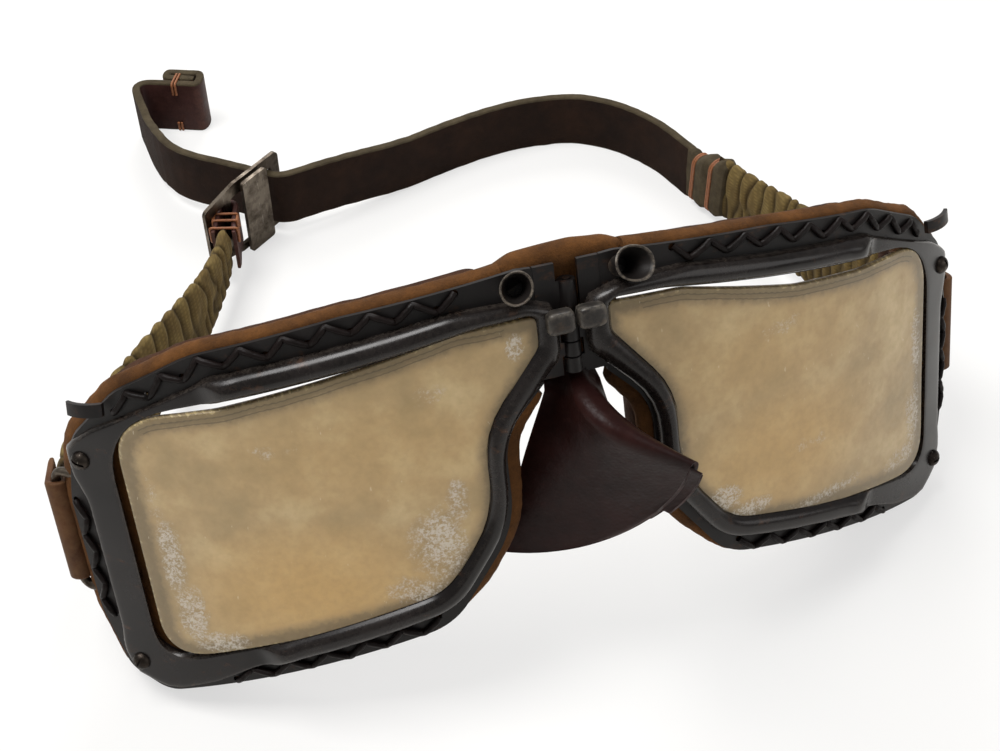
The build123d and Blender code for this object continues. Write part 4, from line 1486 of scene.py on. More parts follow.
@dataclass
class Mask:
    """Suede wall behind the flange, its soft edge rolled out past it."""

    side: Side
    start: float = 10.4
    hollow: float = 3.0
    thinnest: float = 1.9
    temple_reach: float = 5.5
    roll: float = 1.05
    nose_roll: dict[Side, float] = field(default_factory=lambda: {Side.LEFT: 3.0, Side.RIGHT: 2.4})
    profile: Sequence[Point2] = (
        (-1.6, 1.0), (-0.5, 0.98), (0.25, 1.1), (0.65, 1.6), (0.92, 2.3), (1.0, 3.1),
        (0.8, 4.0), (0.35, 5.0), (-0.3, 6.1), (-0.95, 7.1), (-1.4, 7.9),
    )  # fmt: skip

    def build(self) -> Object:
        """Sweeps the rolled wall round the flange.

        Returns:
            The mask.
        """
        run, ways = mask_run(FLANGE_EDGE, self.start, 3.2)
        wall = grown(OPENING.dense(), self.hollow)
        rings = []
        for point, way in zip(run, ways):
            temple = smooth(point.x, 76.0, 83.0) * smooth(way.x, 0.3, 0.8)
            inward = min(reach_to(point, -way, wall, 22.0), 22.0) + self.temple_reach * temple
            nose = smooth(-way.x, 0.3, 0.8) * (1 - smooth(point.x, 20.0, 27.0)) * smooth(-point.y, 8.0, 14.0)
            roll = mix(self.roll, self.nose_roll[self.side], nose)
            pleat = 1 + 0.2 * self.side.ruffle(point, 9.0, 4.0)
            ring = []
            for out, depth in self.profile:
                reach = out * roll * pleat if out > 0 else out * (1 - 0.6 * nose)
                flat = point + way * reach
                fuzz = 0.18 * ruffle(Vector((flat.x * 1.4, flat.y * 1.4, depth * 2.2)), 2.6)
                ring.append((flat + way * fuzz * (out > 0), depth))
            ring += [(point - way * max(inward, self.thinnest), depth) for depth in (7.9, 4.6, 1.05)]
            rings.append([self.side.behind(flat, depth) for flat, depth in ring])
            for spot in rings[-1]:
                spot.z = max(spot.z, 0.0)
        piece = loft(self.side.node("suede_mask"), rings, [Finish.SUEDE], 70.0)
        return settle(piece, self.side.body, "mask_suede", self.side.node("face_mask"))


@dataclass
class Cushion:
    """Padded ring that rests on the face: crowned, and drawn in at its two seams."""

    side: Side
    start: float = 12.0
    front: float = 8.2
    crown: float = 16.4
    hollow: float = 0.6
    swell: float = 0.9
    power: float = 0.62

    def build(self) -> Object:
        """Makes the ring and blows it up like a stuffed pad.

        Returns:
            The cushion.
        """
        run, ways = mask_run(CUSHION_EDGE, self.start)
        wall = grown(OPENING.dense(), self.hollow)
        rings = []
        for point, way in zip(run, ways):
            wide = reach_to(point, -way, wall, 16.0)
            middle = wide / 2
            swing = 0.25 * self.side.ruffle(point, 6.0, 6.0)
            ring = []
            for step in range(20):
                turn = math.tau * step / 20
                across, deep = squared(math.cos(turn), self.power), squared(math.sin(turn), self.power)
                tall = (self.crown - self.front) / 2 - 0.25 + swing * (deep > 0)
                depth = (self.front + self.crown) / 2 + deep * tall
                pinch = 1 - 0.16 * (1 - smooth(abs(depth - self.front), 0.0, 2.2))
                flat = point - way * (middle - across * middle * 0.94 * pinch)
                ring.append(self.side.behind(flat, depth))
            rings.append(ring)
        piece = loft(self.side.node("face_cushion"), rings, [Finish.LINING], 80.0)
        inflate(piece, voxel=1.3, cap=self.swell)
        subdivide(piece)
        return settle(piece, self.side.body, "cushion_suede", self.side.node("mask_cushion"))


def inflate(piece: Object, voxel: float, cap: float, pressure: float = 4.0, frames: int = 20) -> None:
    """Blows a closed piece up a little with cloth simulation, and keeps the result.

    Args:
        piece: the object, whose mesh is remade.
        voxel: remesh size in millimetres.
        cap: the furthest that a point may move, in millimetres.
        pressure: the pressure inside.
        frames: how many frames run.
    """
    remesh = piece.modifiers.new("remesh", "REMESH")
    remesh.mode = "VOXEL"
    remesh.voxel_size = voxel * MM
    bake_modifiers(piece)
    before = [vertex.co.copy() for vertex in piece.data.vertices]
    cloth = piece.modifiers.new("cloth", "CLOTH")
    cloth.settings.use_pressure = True
    cloth.settings.uniform_pressure_force = pressure
    cloth.settings.mass = 0.15
    cloth.settings.effector_weights.gravity = 0.0
    scene = bpy.context.scene
    for frame_number in range(1, frames + 1):
        scene.frame_set(frame_number)
    bake_modifiers(piece)
    for vertex, old in zip(piece.data.vertices, before):
        move = vertex.co - old
        if move.length > cap * MM:
            vertex.co = old + move.normalized() * cap * MM
    scene.frame_set(1)
    piece.data.shade_smooth()


def bake_modifiers(piece: Object) -> None:
    """Replaces a piece's mesh by what its modifiers make, and removes them.

    Args:
        piece: the object.
    """
    graph = bpy.context.evaluated_depsgraph_get()
    made = bpy.data.meshes.new_from_object(piece.evaluated_get(graph))
    made.name = piece.name
    piece.modifiers.clear()
    piece.data = made


@dataclass
class Bridge:
    """The soft suede roll that joins the two masks above the nose."""

    half: float = 13.4
    section: Sequence[Point2] = (
        (1.1, 10.8), (1.15, 12.2), (1.6, 13.3), (2.7, 14.0), (4.2, 14.0), (5.8, 13.3), (7.4, 11.9),
        (8.7, 9.6), (9.4, 5.0), (9.3, 0.0), (9.4, -7.0), (9.6, -13.4), (8.9, -14.8), (8.2, -13.4),
        (7.7, -9.4), (5.4, -7.4), (2.6, -5.0), (2.4, 0.0), (2.4, 6.0), (1.9, 9.4),
    )  # fmt: skip
    middle: Point2 = (4.6, 10.6)

    def build(self) -> Object:
        """Sweeps the section across the bridge; its ends sink into the masks.

        Returns:
            The bridge.
        """
        rings = []
        steps = 34
        for step in range(steps + 1):
            x = self.half * (2 * step / steps - 1)
            away = abs(x) / self.half
            sunk = smooth(away, 0.6, 1.0)
            ring = []
            for y, z in self.section:
                fold = 0.22 * ruffle(Vector((x * 0.8, y, z)), 3.4)
                top = smooth(z, 8.0, 13.0)
                heap = 0.7 * top * (1 - smooth(away, 0.1, 0.8)) + fold * top
                low = smooth(8.0 - z, 0.0, 6.0) * smooth(away, 0.72, 0.8)
                middle_y, middle_z = self.middle
                spot_z = mix(z + heap, middle_z + (z - middle_z) * 0.45, sunk)
                spot_z = mix(spot_z, 8.4 + 0.02 * z, low)
                spot_y = mix(y + fold * (y > 3), middle_y + (y - middle_y) * 0.7, sunk)
                ring.append(stood(x, spot_y, spot_z))
            rings.append(ring)
        piece = loft("bridge_suede", rings, [Finish.SUEDE], 80.0)
        subdivide(piece)
        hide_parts("bridge_mask")
        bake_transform(piece)
        LOG.info("%s: %d faces, between the halves", piece.name, len(piece.data.polygons))
        return piece


@dataclass(frozen=True)
class Strip:
    """One bent section of the saddle, drawn in its own tilted plane, in millimetres."""

    down: float
    tilt: float
    left: Point2
    middle: Point2
    right: Point2
    bend: float


GUARD_STRIPS = (
    Strip(0.0, 28.0, (-5.2, -2.0), (0.3, -0.2), (5.0, -2.4), 2.0),
    Strip(12.0, 32.0, (-10.5, -11.9), (3.9, 6.8), (7.9, -8.0), 3.4),
    Strip(26.9, 48.5, (-18.2, -31.2), (22.9, 3.2), (12.9, -17.0), 2.0),
)


@dataclass
class Guard:
    """A leather sheet bent over the bridge of the nose like a saddle, its lower edge cut round."""

    name: str
    node: str
    thick: float = 1.3
    inset: float = 0.0
    reaches: tuple[float, float] | None = None
    beyond: float = 0.0
    top: tuple[float, float, float] = (0.3, 0.6, -10.9)
    corners: tuple[tuple[float, float, float], ...] = ((-15.3, 7.8, -48.2), (16.3, -15.35, -24.0))
    edge_radius: float = 49.0
    edge_sag: float = 6.0
    sag: float = 0.9
    rows: int = 34
    knee: float = 0.45
    tuck_back: float = 2.6

    @property
    def way_down(self) -> Vector:
        """The way down the saddle's top edge."""
        slope = math.radians(GUARD_STRIPS[0].tilt)
        return Vector((0, -math.sin(slope), -math.cos(slope)))

    def curve(self, share: float, numbers: Sequence[float]) -> float:
        """The number at a share of the way down.

        Args:
            share: from 0 at the top to 1 at the tip.
            numbers: the numbers at the top, the knee and the tip.

        Returns:
            A number on the smooth curve through the three.
        """
        first, middle, last = numbers
        bent = (middle - first - (last - first) * self.knee) / (self.knee * (self.knee - 1))
        return first + (last - first) * share + bent * share * (share - 1)

    def strip(self, share: float) -> Strip:
        """The section at a share of the way down.

        Args:
            share: from 0 at the top to 1 at the tip.

        Returns:
            The section.
        """

        def between(column: Sequence) -> float | Point2:
            """One number or point of the section.

            Args:
                column: the same number or point of the three strips.

            Returns:
                The number or point at the share.
            """
            if isinstance(column[0], tuple):
                return tuple(self.curve(share, part) for part in zip(*column))
            return self.curve(share, column)

        return Strip(*(between(column) for column in zip(*map(astuple, GUARD_STRIPS))))

    def flank(self, end: Vector, middle: Vector, radius: float, hand: int) -> tuple[Vector, Vector]:
        """Ways along and square to the straight that leaves an end and meets the round bend.

        Args:
            end: the straight's end.
            middle: the bend's centre.
            radius: the bend's radius.
            hand: 1 on the left, -1 on the right.

        Returns:
            The way along the straight, and the way out of the leather.
        """
        reach = middle - end
        way = (Matrix.Rotation(hand * math.asin(min(radius / reach.length, 1.0)), 2) @ reach).normalized()
        return way, Vector((-hand * way.y, hand * way.x))

    def section(self, strip: Strip) -> list[tuple[Vector, Vector]]:
        """Flat points of a section's outer face from left to right, each with its way out.

        Args:
            strip: the section.

        Returns:
            The points and their ways out.
        """
        centre = Vector(strip.middle)
        bend = strip.bend - self.inset
        left_way, left_out = self.flank(Vector(strip.left), centre, strip.bend, 1)
        right_way, right_out = self.flank(Vector(strip.right), centre, strip.bend, -1)
        left = Vector(strip.left) - left_out * self.inset
        right = Vector(strip.right) - right_out * self.inset
        if self.reaches:
            left = centre + left_out * bend - left_way * self.reaches[0]
            right = centre + right_out * bend - right_way * self.reaches[1]
        spots = []
        near, far = centre + left_out * bend, centre + right_out * bend
        for step in range(22):
            share = step / 22
            dip = math.sin(math.pi * share) * self.sag
            spots.append((left.lerp(near, share) - left_out * dip, left_out))
        turn = left_out.angle(right_out)
        for step in range(13):
            way = Matrix.Rotation(-turn * step / 12, 2) @ left_out
            spots.append((centre + way * bend, way))
        for step in range(1, 11):
            spots.append((far.lerp(right, step / 10), right_out))
        return spots

    def trimmed(self, spot: Vector, above: Vector) -> Vector:
        """The spot, or where the line from the spot above it meets the round lower edge.

        Args:
            spot: a point of the sheet.
            above: the point over it in the row before.

        Returns:
            The point that is kept.
        """
        first, second = (Vector(corner) for corner in self.corners)
        chord = (second - first).normalized()
        down = (self.way_down - chord * self.way_down.dot(chord)).normalized()
        centre = (first + second) / 2 - down * (self.edge_radius - self.edge_sag)
        axis = chord.cross(down).normalized()

        def away(point: Vector) -> float:
            """Distance from the cut's axis."""
            reach = point - centre
            return (reach - axis * reach.dot(axis)).length

        limit = self.edge_radius + self.beyond
        if away(spot) <= limit:
            return spot
        low, high = 0.0, 1.0
        if away(above) >= limit:
            return above
        for _ in range(18):
            half = (low + high) / 2
            low, high = (half, high) if away(above.lerp(spot, half)) < limit else (low, half)
        return above.lerp(spot, low)

    def build(self) -> Object:
        """Lofts the sheet, trims it and gives it its thickness.

        Returns:
            The sheet.
        """
        way_down = self.way_down
        start = -0.09 if self.reaches is None else 0.4
        sheets: list[list[tuple[Vector, Vector]]] = []
        for row in range(self.rows + 1):
            share = mix(start, 1.0, row / self.rows)
            strip = self.strip(max(share, 0.0))
            angle = math.radians(strip.tilt)
            ahead = Vector((0, -math.cos(angle), math.sin(angle)))
            origin = Vector(self.top) + way_down * (strip.down + 26.0 * min(share, 0.0))
            origin.y += self.tuck_back * smooth(-share, -0.04, 0.03)
            sheet = []
            for flat, out in self.section(strip):
                spot = origin + Vector((flat.x, 0, 0)) + ahead * flat.y
                sheet.append((spot, (Vector((out.x, 0, 0)) + ahead * out.y).normalized()))
            sheets.append(sheet)
        rings = []
        kept: list[Vector] = []
        for number, sheet in enumerate(sheets):
            spots = []
            for place, (spot, _) in enumerate(sheet):
                above = sheets[number - 1][place][0] if number else spot
                fixed = self.trimmed(spot, above)
                if kept and min((fixed - spot).length, (kept[place] - above).length) > 1e-4:
                    fixed = kept[place] + way_down * 0.004
                spots.append(fixed)
            kept = spots
            outer, inner = [], []
            for fixed, (_, out) in zip(spots, sheet):
                lump = 0.22 * ruffle(fixed, 7.0)
                for shelf, lift in ((outer, lump), (inner, lump - self.thick)):
                    point = fixed + out * lift
                    shelf.append(stood(point.x, point.y, point.z))
            rings.append(outer + inner[::-1])
        piece = loft(self.name, rings, [Finish.GUARD], 60.0)
        return settle(piece, "nose_guard", "guard_leather", self.node)


# The strap


TAB_WAY = Vector((-0.10, 0.995, 0.0))
LOOP_SPOT = (94.6, 34.0)
TAB_SPAN = (-46.5, -24.5)
TAB_LONG = 9.0
SPLICE_START = Vector((77.0, 113.2))
SPLICE_END = Vector((80.6, 101.4))
BUCKLE_SPOT = Vector((-34.8, 135.4))
BUCKLE_TURN = math.radians(38.0)
BAR_SPOT = BUCKLE_SPOT - facing(BUCKLE_TURN) * 14.9
CHAPE_WAY = facing(math.radians(254.0))
CHAPE_SPAN = (5.4, 17.4)
CHAPE_LONG = 10.5
STRAP_WIDE = 15.9
STRAP_THICK = 2.2
STRAP_LIFT = 2.9
SEWING = {"Thickness": 0.00034, "Corner": 0.0003, "Unevenness": 0.3}
BINDING = {"Thickness": 0.00036, "Corner": 0.0002, "Unevenness": 0.35}


def fold_run(inner: float, thick: float, length: float) -> list[Point2]:
    """Middle line of a strip folded round the origin, open along X.

    Args:
        inner: radius inside the fold.
        thick: the strip's thickness.
        length: how far the plies run.

    Returns:
        Points from one ply's end round to the other's.
    """
    radius = inner + thick / 2
    steps = 8
    run = [(length * (1 - step / steps), radius) for step in range(steps)]
    for step in range(13):
        turn = math.pi / 2 + math.pi * step / 12
        run.append((radius * math.cos(turn), radius * math.sin(turn)))
    run += [(length * step / steps, -radius) for step in range(1, steps + 1)]
    return run


def strip_rings(
    path: list[Vector], up: Vector, wide: float, thick: float, corner: float, ragged: float = 0.0
) -> list[Ring]:
    """Rings of a flat strip that follows a path on its edge.

    Args:
        path: points in metres.
        up: the way that the strip's width stays nearest to.
        wide: its width in millimetres.
        thick: its thickness in millimetres.
        corner: the radius of its long edges in millimetres.
        ragged: how uneven its edges are, in millimetres.

    Returns:
        The rings, in metres.
    """
    rings = []
    section = rounded_box_ring(thick, wide, corner)
    for place, (_, across, above) in enumerate(sweep_frames(path, up)):
        end = 0.72 if place in (0, len(path) - 1) else 1.0
        ring = []
        for out, rise in section:
            uneven = ragged * ruffle(path[place] / MM + Vector((0, 0, rise)), 3.0)
            ring.append(path[place] + across * (out * end + uneven * 0.4) * MM + above * (rise + uneven) * MM)
        rings.append(ring)
    return rings


@dataclass
class TempleTab:
    """Leather folded round the wire loop behind the temple."""

    side: Side
    inner: float = 1.0
    thick: float = 1.3

    def build(self) -> Object:
        """Folds the strip round the wire.

        Returns:
            The tab.
        """
        middle = sum(TAB_SPAN) / 2
        side_way = Vector((-TAB_WAY.y, TAB_WAY.x, 0))
        path = []
        for along, out in fold_run(self.inner, self.thick, TAB_LONG):
            spot = Vector((LOOP_SPOT[0], LOOP_SPOT[1], middle)) + TAB_WAY * along + side_way * out
            path.append(self.side.stand(spot))
        up = stood(0, 0, 1) - stood(0, 0, 0)
        rings = strip_rings(path, up, TAB_SPAN[1] - TAB_SPAN[0], self.thick, 0.45, 0.3)
        piece = loft(self.side.node("temple_tab"), rings, [Finish.TAB], 60.0)
        return settle(piece, self.side.body, "temple_leather", self.side.node("temple_chape"))


@dataclass
class Elastic:
    """An elastic band in a cotton sleeve that is gathered into folds across it."""

    side: Side
    wide: float = 21.0
    thick: float = 4.0
    deep: float = 1.15
    upper_folds: int = 17
    lower_folds: int = 27
    stations: int = 340

    def ends(self) -> tuple[Vector, Vector, Vector, Vector, float]:
        """Start and end points, ways at each, and the width at the end, in millimetres.

        Returns:
            Start, end, way at the start, way at the end, and the width.
        """
        spot = Vector((LOOP_SPOT[0], LOOP_SPOT[1], sum(TAB_SPAN) / 2)) + TAB_WAY * (TAB_LONG - 1.2)
        start = stood(spot.x, spot.y, spot.z) / MM
        start.y += MIDDLE_BEHIND
        way = Vector((TAB_WAY.x, TAB_WAY.y * math.cos(LEAN), -TAB_WAY.y * math.sin(LEAN)))
        if self.side is Side.RIGHT:
            splice_way = (SPLICE_END - SPLICE_START).normalized()
            end = SPLICE_END - splice_way * 2.5
            return start, Vector((end.x, end.y, 11.2)), way, -splice_way.to_3d(), 18.5
        start.x *= -1
        way.x *= -1
        end = BAR_SPOT + CHAPE_WAY * (CHAPE_LONG - 2.0)
        return start, Vector((end.x, end.y, sum(CHAPE_SPAN) / 2)), way, -CHAPE_WAY.to_3d(), 14.0

    def fold(self, share: float, rise: float) -> float:
        """How far out the sleeve stands, from 0 in a gather to 1 on a fold.

        Args:
            share: how far along the band.
            rise: from -1 at the lower edge to 1 at the upper.

        Returns:
            The fold's height.
        """
        warp = 0.5 * noise.noise(Vector((share * 21, rise * 1.3, 3.0 * self.side.hand)))
        bow = 0.24 * (rise * rise)
        upper = abs(math.sin(math.pi * (self.upper_folds * share + warp + bow))) ** 0.62
        lower = abs(math.sin(math.pi * (self.lower_folds * share + 1.3 * warp - bow))) ** 0.8 * 0.72
        row = smooth(rise, -0.18, 0.02)
        channel = 1 - 0.62 * math.exp(-(((rise + 0.08) / 0.09) ** 2))
        uneven = 0.8 + 0.35 * noise.noise(Vector((share * 33, rise * 2.0, 8.0)))
        return mix(lower, upper, row) * channel * uneven

    def build(self) -> Object:
        """Sweeps the gathered sleeve along its curve.

        Returns:
            The band.
        """
        start, end, way, end_way, end_wide = self.ends()
        span = (end - start).length
        handles = (start, start + way * span / 3, end - end_way * span / 3, end)
        lean_up = Vector((0, math.sin(LEAN), math.cos(LEAN)))
        section = self.section()
        rings, folds = [], []
        for station in range(self.stations + 1):
            share = station / self.stations
            back = 1 - share
            spot = (
                handles[0] * back**3
                + handles[1] * 3 * back * back * share
                + handles[2] * 3 * back * share * share
                + handles[3] * share**3
            )
            along = (
                (handles[1] - handles[0]) * back * back
                + (handles[2] - handles[1]) * 2 * back * share
                + (handles[3] - handles[2]) * share * share
            ).normalized()
            up = (lean_up * back + Vector((0, 0, 1)) * share).normalized()
            across = along.cross(up).normalized()
            above = across.cross(along).normalized()
            wide = mix(self.wide, end_wide, smooth(share, 0.55, 1.0))
            pull = min(smooth(share, 0.0, 0.03), smooth(1 - share, 0.0, 0.03))
            ring, marks = [], []
            for out, rise in section:
                height = self.fold(share, rise) * pull
                edge = 1 - 0.45 * abs(rise) ** 6
                reach = (self.thick / 2 - self.deep + self.deep * 1.25 * height) * edge * mix(0.6, 1.0, pull)
                tall = rise * (wide / 2 - 0.7 + 0.75 * height * abs(rise) ** 4)
                point = spot + across * (out * reach) + above * tall
                point.y -= MIDDLE_BEHIND
                point.z = max(point.z, 0.2)
                ring.append(point * MM)
                marks.append(height)
            rings.append(ring)
            folds.append(marks)
        name = self.side.node("gathered_elastic")
        # the fold heights go with the band; its material paints shade in the gathers by them
        piece = loft(name, rings, [Finish.WEBBING], 180.0, marks={"fold": folds})
        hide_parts(self.side.node("elastic_strap"))
        if self.side is Side.RIGHT:
            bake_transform(piece)
        else:
            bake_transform(piece)
        LOG.info("%s: %d faces, bends between bodies", name, len(piece.data.polygons))
        return piece

    def section(self) -> list[Point2]:
        """Points round the band: how far out each is of its half thickness, and its rise.

        Returns:
            The points, each number from -1 to 1.
        """
        points = []
        for step in range(48):
            turn = math.tau * step / 48
            points.append((squared(math.cos(turn), 0.35), squared(math.sin(turn), 0.75)))
        return points


@dataclass
class RearStrap:
    """One leather strap on its edge, through the buckle, its free end rolled and sewn."""

    route: Sequence[Point2] = (
        (77.0, 113.2), (72.1, 129.2), (64.1, 140.2), (54.3, 147.0), (38.9, 148.8), (26.6, 147.2),
        (14.0, 144.2), (1.6, 140.0), (-16.6, 135.4),
    )  # fmt: skip
    heading: float = math.radians(142.0)
    back_route: Sequence[Point2] = ((-60.6, 172.5), (-62.3, 191.5))
    roll_start: Point2 = (-50.0, 186.6)
    roll_turn: float = math.radians(-22.0)
    roll_long: float = 4.6
    roll_back: float = -3.6
    roll_step: float = 2.65

    def roll_spot(self, along: float, layers: float) -> Vector:
        """A point of the roll, along its long side and in layers from its front.

        Args:
            along: millimetres along its long side.
            layers: layers of leather from its front.

        Returns:
            The point seen from above, in millimetres.
        """
        way = facing(self.roll_turn)
        side_way = Vector((-way.y, way.x))
        return Vector(self.roll_start) + way * along + side_way * (layers * self.roll_step)

    def roll_run(self) -> list[Vector]:
        """The rolled end's middle line: front layer, back layer, and the end tucked between.

        Returns:
            Its points seen from above, in millimetres.
        """
        run = [self.roll_spot(self.roll_long * step / 5, 0) for step in range(1, 5)]
        for step in range(13):
            turn = math.pi * step / 12
            run.append(self.roll_spot(self.roll_long + math.sin(turn), 1 - math.cos(turn)))
        run += [self.roll_spot(mix(self.roll_long, self.roll_back, step / 6), 2) for step in range(1, 6)]
        for step in range(9):
            turn = math.pi * step / 8
            run.append(self.roll_spot(self.roll_back - math.sin(turn) * 0.5, 1.5 + 0.5 * math.cos(turn)))
        run += [self.roll_spot(mix(self.roll_back, self.roll_long - 0.6, step / 6), 1) for step in range(1, 7)]
        return run

    def path(self) -> list[Vector]:
        """The strap's middle line seen from above, in millimetres.

        Returns:
            Its points, from the splice to the roll's end.
        """
        way = facing(self.heading)
        first_bend = BUCKLE_SPOT - way * 4.2
        last_bend = BUCKLE_SPOT + way * 34.0 * 0.86
        corners = [Vector(spot) for spot in self.route] + [first_bend, last_bend]
        corners += [Vector(spot) for spot in self.back_route] + [self.roll_spot(0, 0)]
        radii = []
        for before, here, after in zip(corners, corners[1:], corners[2:]):
            half = max((here - before).angle(after - here) / 2, 0.01)
            radii.append(0.47 * min((here - before).length, (after - here).length) / math.tan(half))
        radii[len(self.route) - 1] = 5.5
        radii[-3:] = [22.0, 40.0, 6.0]
        run = Outline([(spot.x, spot.y) for spot in corners], radii, closed=False, pace=1.0).dense()
        return run + self.roll_run()

    def lift(self, spot: Vector) -> float:
        """Height of the strap's lower edge over the table.

        Args:
            spot: a point of its middle line.

        Returns:
            Millimetres.
        """
        if spot.x > -36:
            return STRAP_LIFT * (1 - smooth(spot.x, -22, 12))
        return STRAP_LIFT * (1 - smooth(spot.y, 158, 172)) if spot.y > 150 else STRAP_LIFT

    def build(self) -> Object:
        """Sweeps the strap.

        Returns:
            The strap.
        """
        path = []
        for spot in self.path():
            path.append(on_table(spot.x, spot.y, self.lift(spot) + STRAP_WIDE / 2))
        rings = strip_rings(path, Vector((0, 0, 1)), STRAP_WIDE, STRAP_THICK, 0.5, 0.12)
        for ring in rings:
            for point in ring:
                point.z = max(point.z, 0.0)
        faces = [Finish.STRAP_FACE, Finish.STRAP_EDGE, Finish.STRAP_GRAIN]
        piece = loft("rolled_leather_strap", rings, faces, 60.0, slots={7: 0, 15: 2})
        return settle(piece, "left_half", "strap_leather", "rear_strap")

    def stitches(self, tool: ThongTool) -> Object:
        """Sews the roll with thread over its top and bottom edges.

        Args:
            tool: the tree that sweeps thread.

        Returns:
            The stitches.
        """
        half = STRAP_THICK / 2 / self.roll_step
        runs = []
        for along in (-1.4, -0.5):
            for low, high, sign in ((STRAP_WIDE - 3.4, STRAP_WIDE + 0.15, 1), (3.0, -0.05, -1)):
                front = self.roll_spot(along, -half - 0.13)
                back = self.roll_spot(along + 0.3, 1 + half)
                over = self.roll_spot(along, -half + 0.1)
                heights = [(front, low), (front, high - 0.3 * sign), (over, high), (back, high)]
                runs.append([on_table(spot.x, spot.y, max(z, 0.3)) for spot, z in heights])
        piece = tool.run("roll_threads", run_of_edges(runs), Finish.THREAD, **SEWING)
        return settle(piece, "left_half", "linen_thread", "roll_stitching")


@dataclass
class Splice:
    """The strap's end, folded round the elastic's end, lobed and bound with thread."""

    sections: Sequence[tuple[float, float, float, float]] = (
        (-1.5, 2.3, 15.8, 8.0), (0.6, 3.0, 15.4, 8.3), (2.6, 4.4, 13.6, 8.4), (4.6, 6.0, 15.6, 9.0),
        (6.6, 6.6, 17.2, 9.5), (8.4, 5.6, 16.2, 9.8), (9.4, 4.9, 15.4, 10.0), (10.6, 5.8, 17.4, 10.4),
        (12.4, 5.6, 18.6, 10.9), (14.2, 4.9, 16.2, 11.0),
    )  # fmt: skip

    def frame(self) -> tuple[Vector, Vector]:
        """The splice's way along, and the way across it."""
        way = (SPLICE_END - SPLICE_START).normalized()
        return way, Vector((way.y, -way.x))

    def ring(self, along: float, thick: float, tall: float, middle: float, grow: float = 0.0) -> Ring:
        """A rounded ring round the splice, grown by an amount in millimetres.

        Args:
            along: its place along the splice.
            thick: its thickness.
            tall: its height.
            middle: its middle's height over the table.
            grow: how far it stands off the leather.

        Returns:
            The ring's points in metres.
        """
        way, across = self.frame()
        centre = SPLICE_START + way * along
        ring = []
        for out, rise in rounded_box_ring(thick + 2 * grow, tall + 2 * grow, thick * 0.42 + grow, 5):
            flat = centre + across * out
            uneven = 0.35 * ruffle(Vector((flat.x * 2, flat.y * 2, rise)), 4.0)
            spot = flat + across * uneven * (grow == 0)
            ring.append(on_table(spot.x, spot.y, max(middle + rise, 0.3)))
        return ring

    def build(self) -> Object:
        """Lofts the lobed leather.

        Returns:
            The splice.
        """
        rings = []
        for first, second in zip(self.sections, self.sections[1:]):
            for step in range(4):
                eased = smooth(step / 4, 0, 1)
                rings.append(self.ring(*(mix(one, two, eased) for one, two in zip(first, second))))
        rings.append(self.ring(*self.sections[-1]))
        piece = loft("spliced_leather", rings, [Finish.STRAP_EDGE], 80.0)
        return settle(piece, "left_half", "strap_leather", "strap_splice")

    def stitches(self, tool: ThongTool) -> Object:
        """Binds the splice with two turns of thread.

        Args:
            tool: the tree that sweeps thread.

        Returns:
            The thread.
        """
        runs = []
        for number in (2, 6):
            for shift in (-0.35, 0.3):
                along, thick, tall, middle = self.sections[number]
                ring = self.ring(along + shift, thick, tall, middle, 0.28)
                runs.append(ring + [ring[0]])
        piece = tool.run("splice_threads", run_of_edges(runs), Finish.THREAD, **BINDING)
        return settle(piece, "left_half", "linen_thread", "splice_stitching")


@dataclass
class Chape:
    """Leather folded round the buckle's middle bar and sewn to the left elastic."""

    inner: float = 1.5
    thick: float = 1.2

    def spot(self, along: float, out: float) -> Vector:
        """A point of the fold seen from above, in millimetres."""
        side_way = Vector((-CHAPE_WAY.y, CHAPE_WAY.x))
        return BAR_SPOT + CHAPE_WAY * along + side_way * out

    def build(self) -> Object:
        """Folds the leather.

        Returns:
            The chape.
        """
        height = sum(CHAPE_SPAN) / 2
        path = []
        for along, out in fold_run(self.inner, self.thick, CHAPE_LONG):
            flat = self.spot(along, out * mix(1.0, 1.25, smooth(along, 4, CHAPE_LONG)))
            path.append(on_table(flat.x, flat.y, height))
        rings = strip_rings(path, Vector((0, 0, 1)), CHAPE_SPAN[1] - CHAPE_SPAN[0], self.thick, 0.4, 0.25)
        piece = loft("buckle_leather", rings, [Finish.STRAP_GRAIN], 60.0)
        return settle(piece, "buckle", "strap_leather", "buckle_chape")

    def stitches(self, tool: ThongTool) -> Object:
        """Sews the fold with thread that wraps over its top edge and crosses its face.

        Args:
            tool: the tree that sweeps thread.

        Returns:
            The thread.
        """
        runs = []
        high = CHAPE_SPAN[1]
        face = self.inner + self.thick + 0.2
        for hand in (-1, 1):
            near = hand * face
            rows = [(3.2, high - 4.2), (3.6, high - 0.2), (6.2, high + 0.2)]
            rows += [(6.6, high - 4.6), (9.0, high - 4.4), (9.2, high - 0.6)]
            run = []
            for along, z in rows:
                flat = self.spot(along, near * mix(1.0, 1.22, smooth(along, 4, CHAPE_LONG)))
                run.append(on_table(flat.x, flat.y, z))
            runs.append(run)
        over = []
        for along in (3.6, 6.2, 9.2):
            wide = face * mix(1.0, 1.2, smooth(along, 4, CHAPE_LONG))
            turns = ((-wide, high - 1), (-wide, high + 0.25), (wide, high + 0.25), (wide, high - 1))
            over.append([on_table(*self.spot(along, out), z) for out, z in turns])
        piece = tool.run("chape_threads", run_of_edges(runs + over), Finish.THREAD, **SEWING)
        return settle(piece, "buckle", "linen_thread", "chape_stitching")


# The set


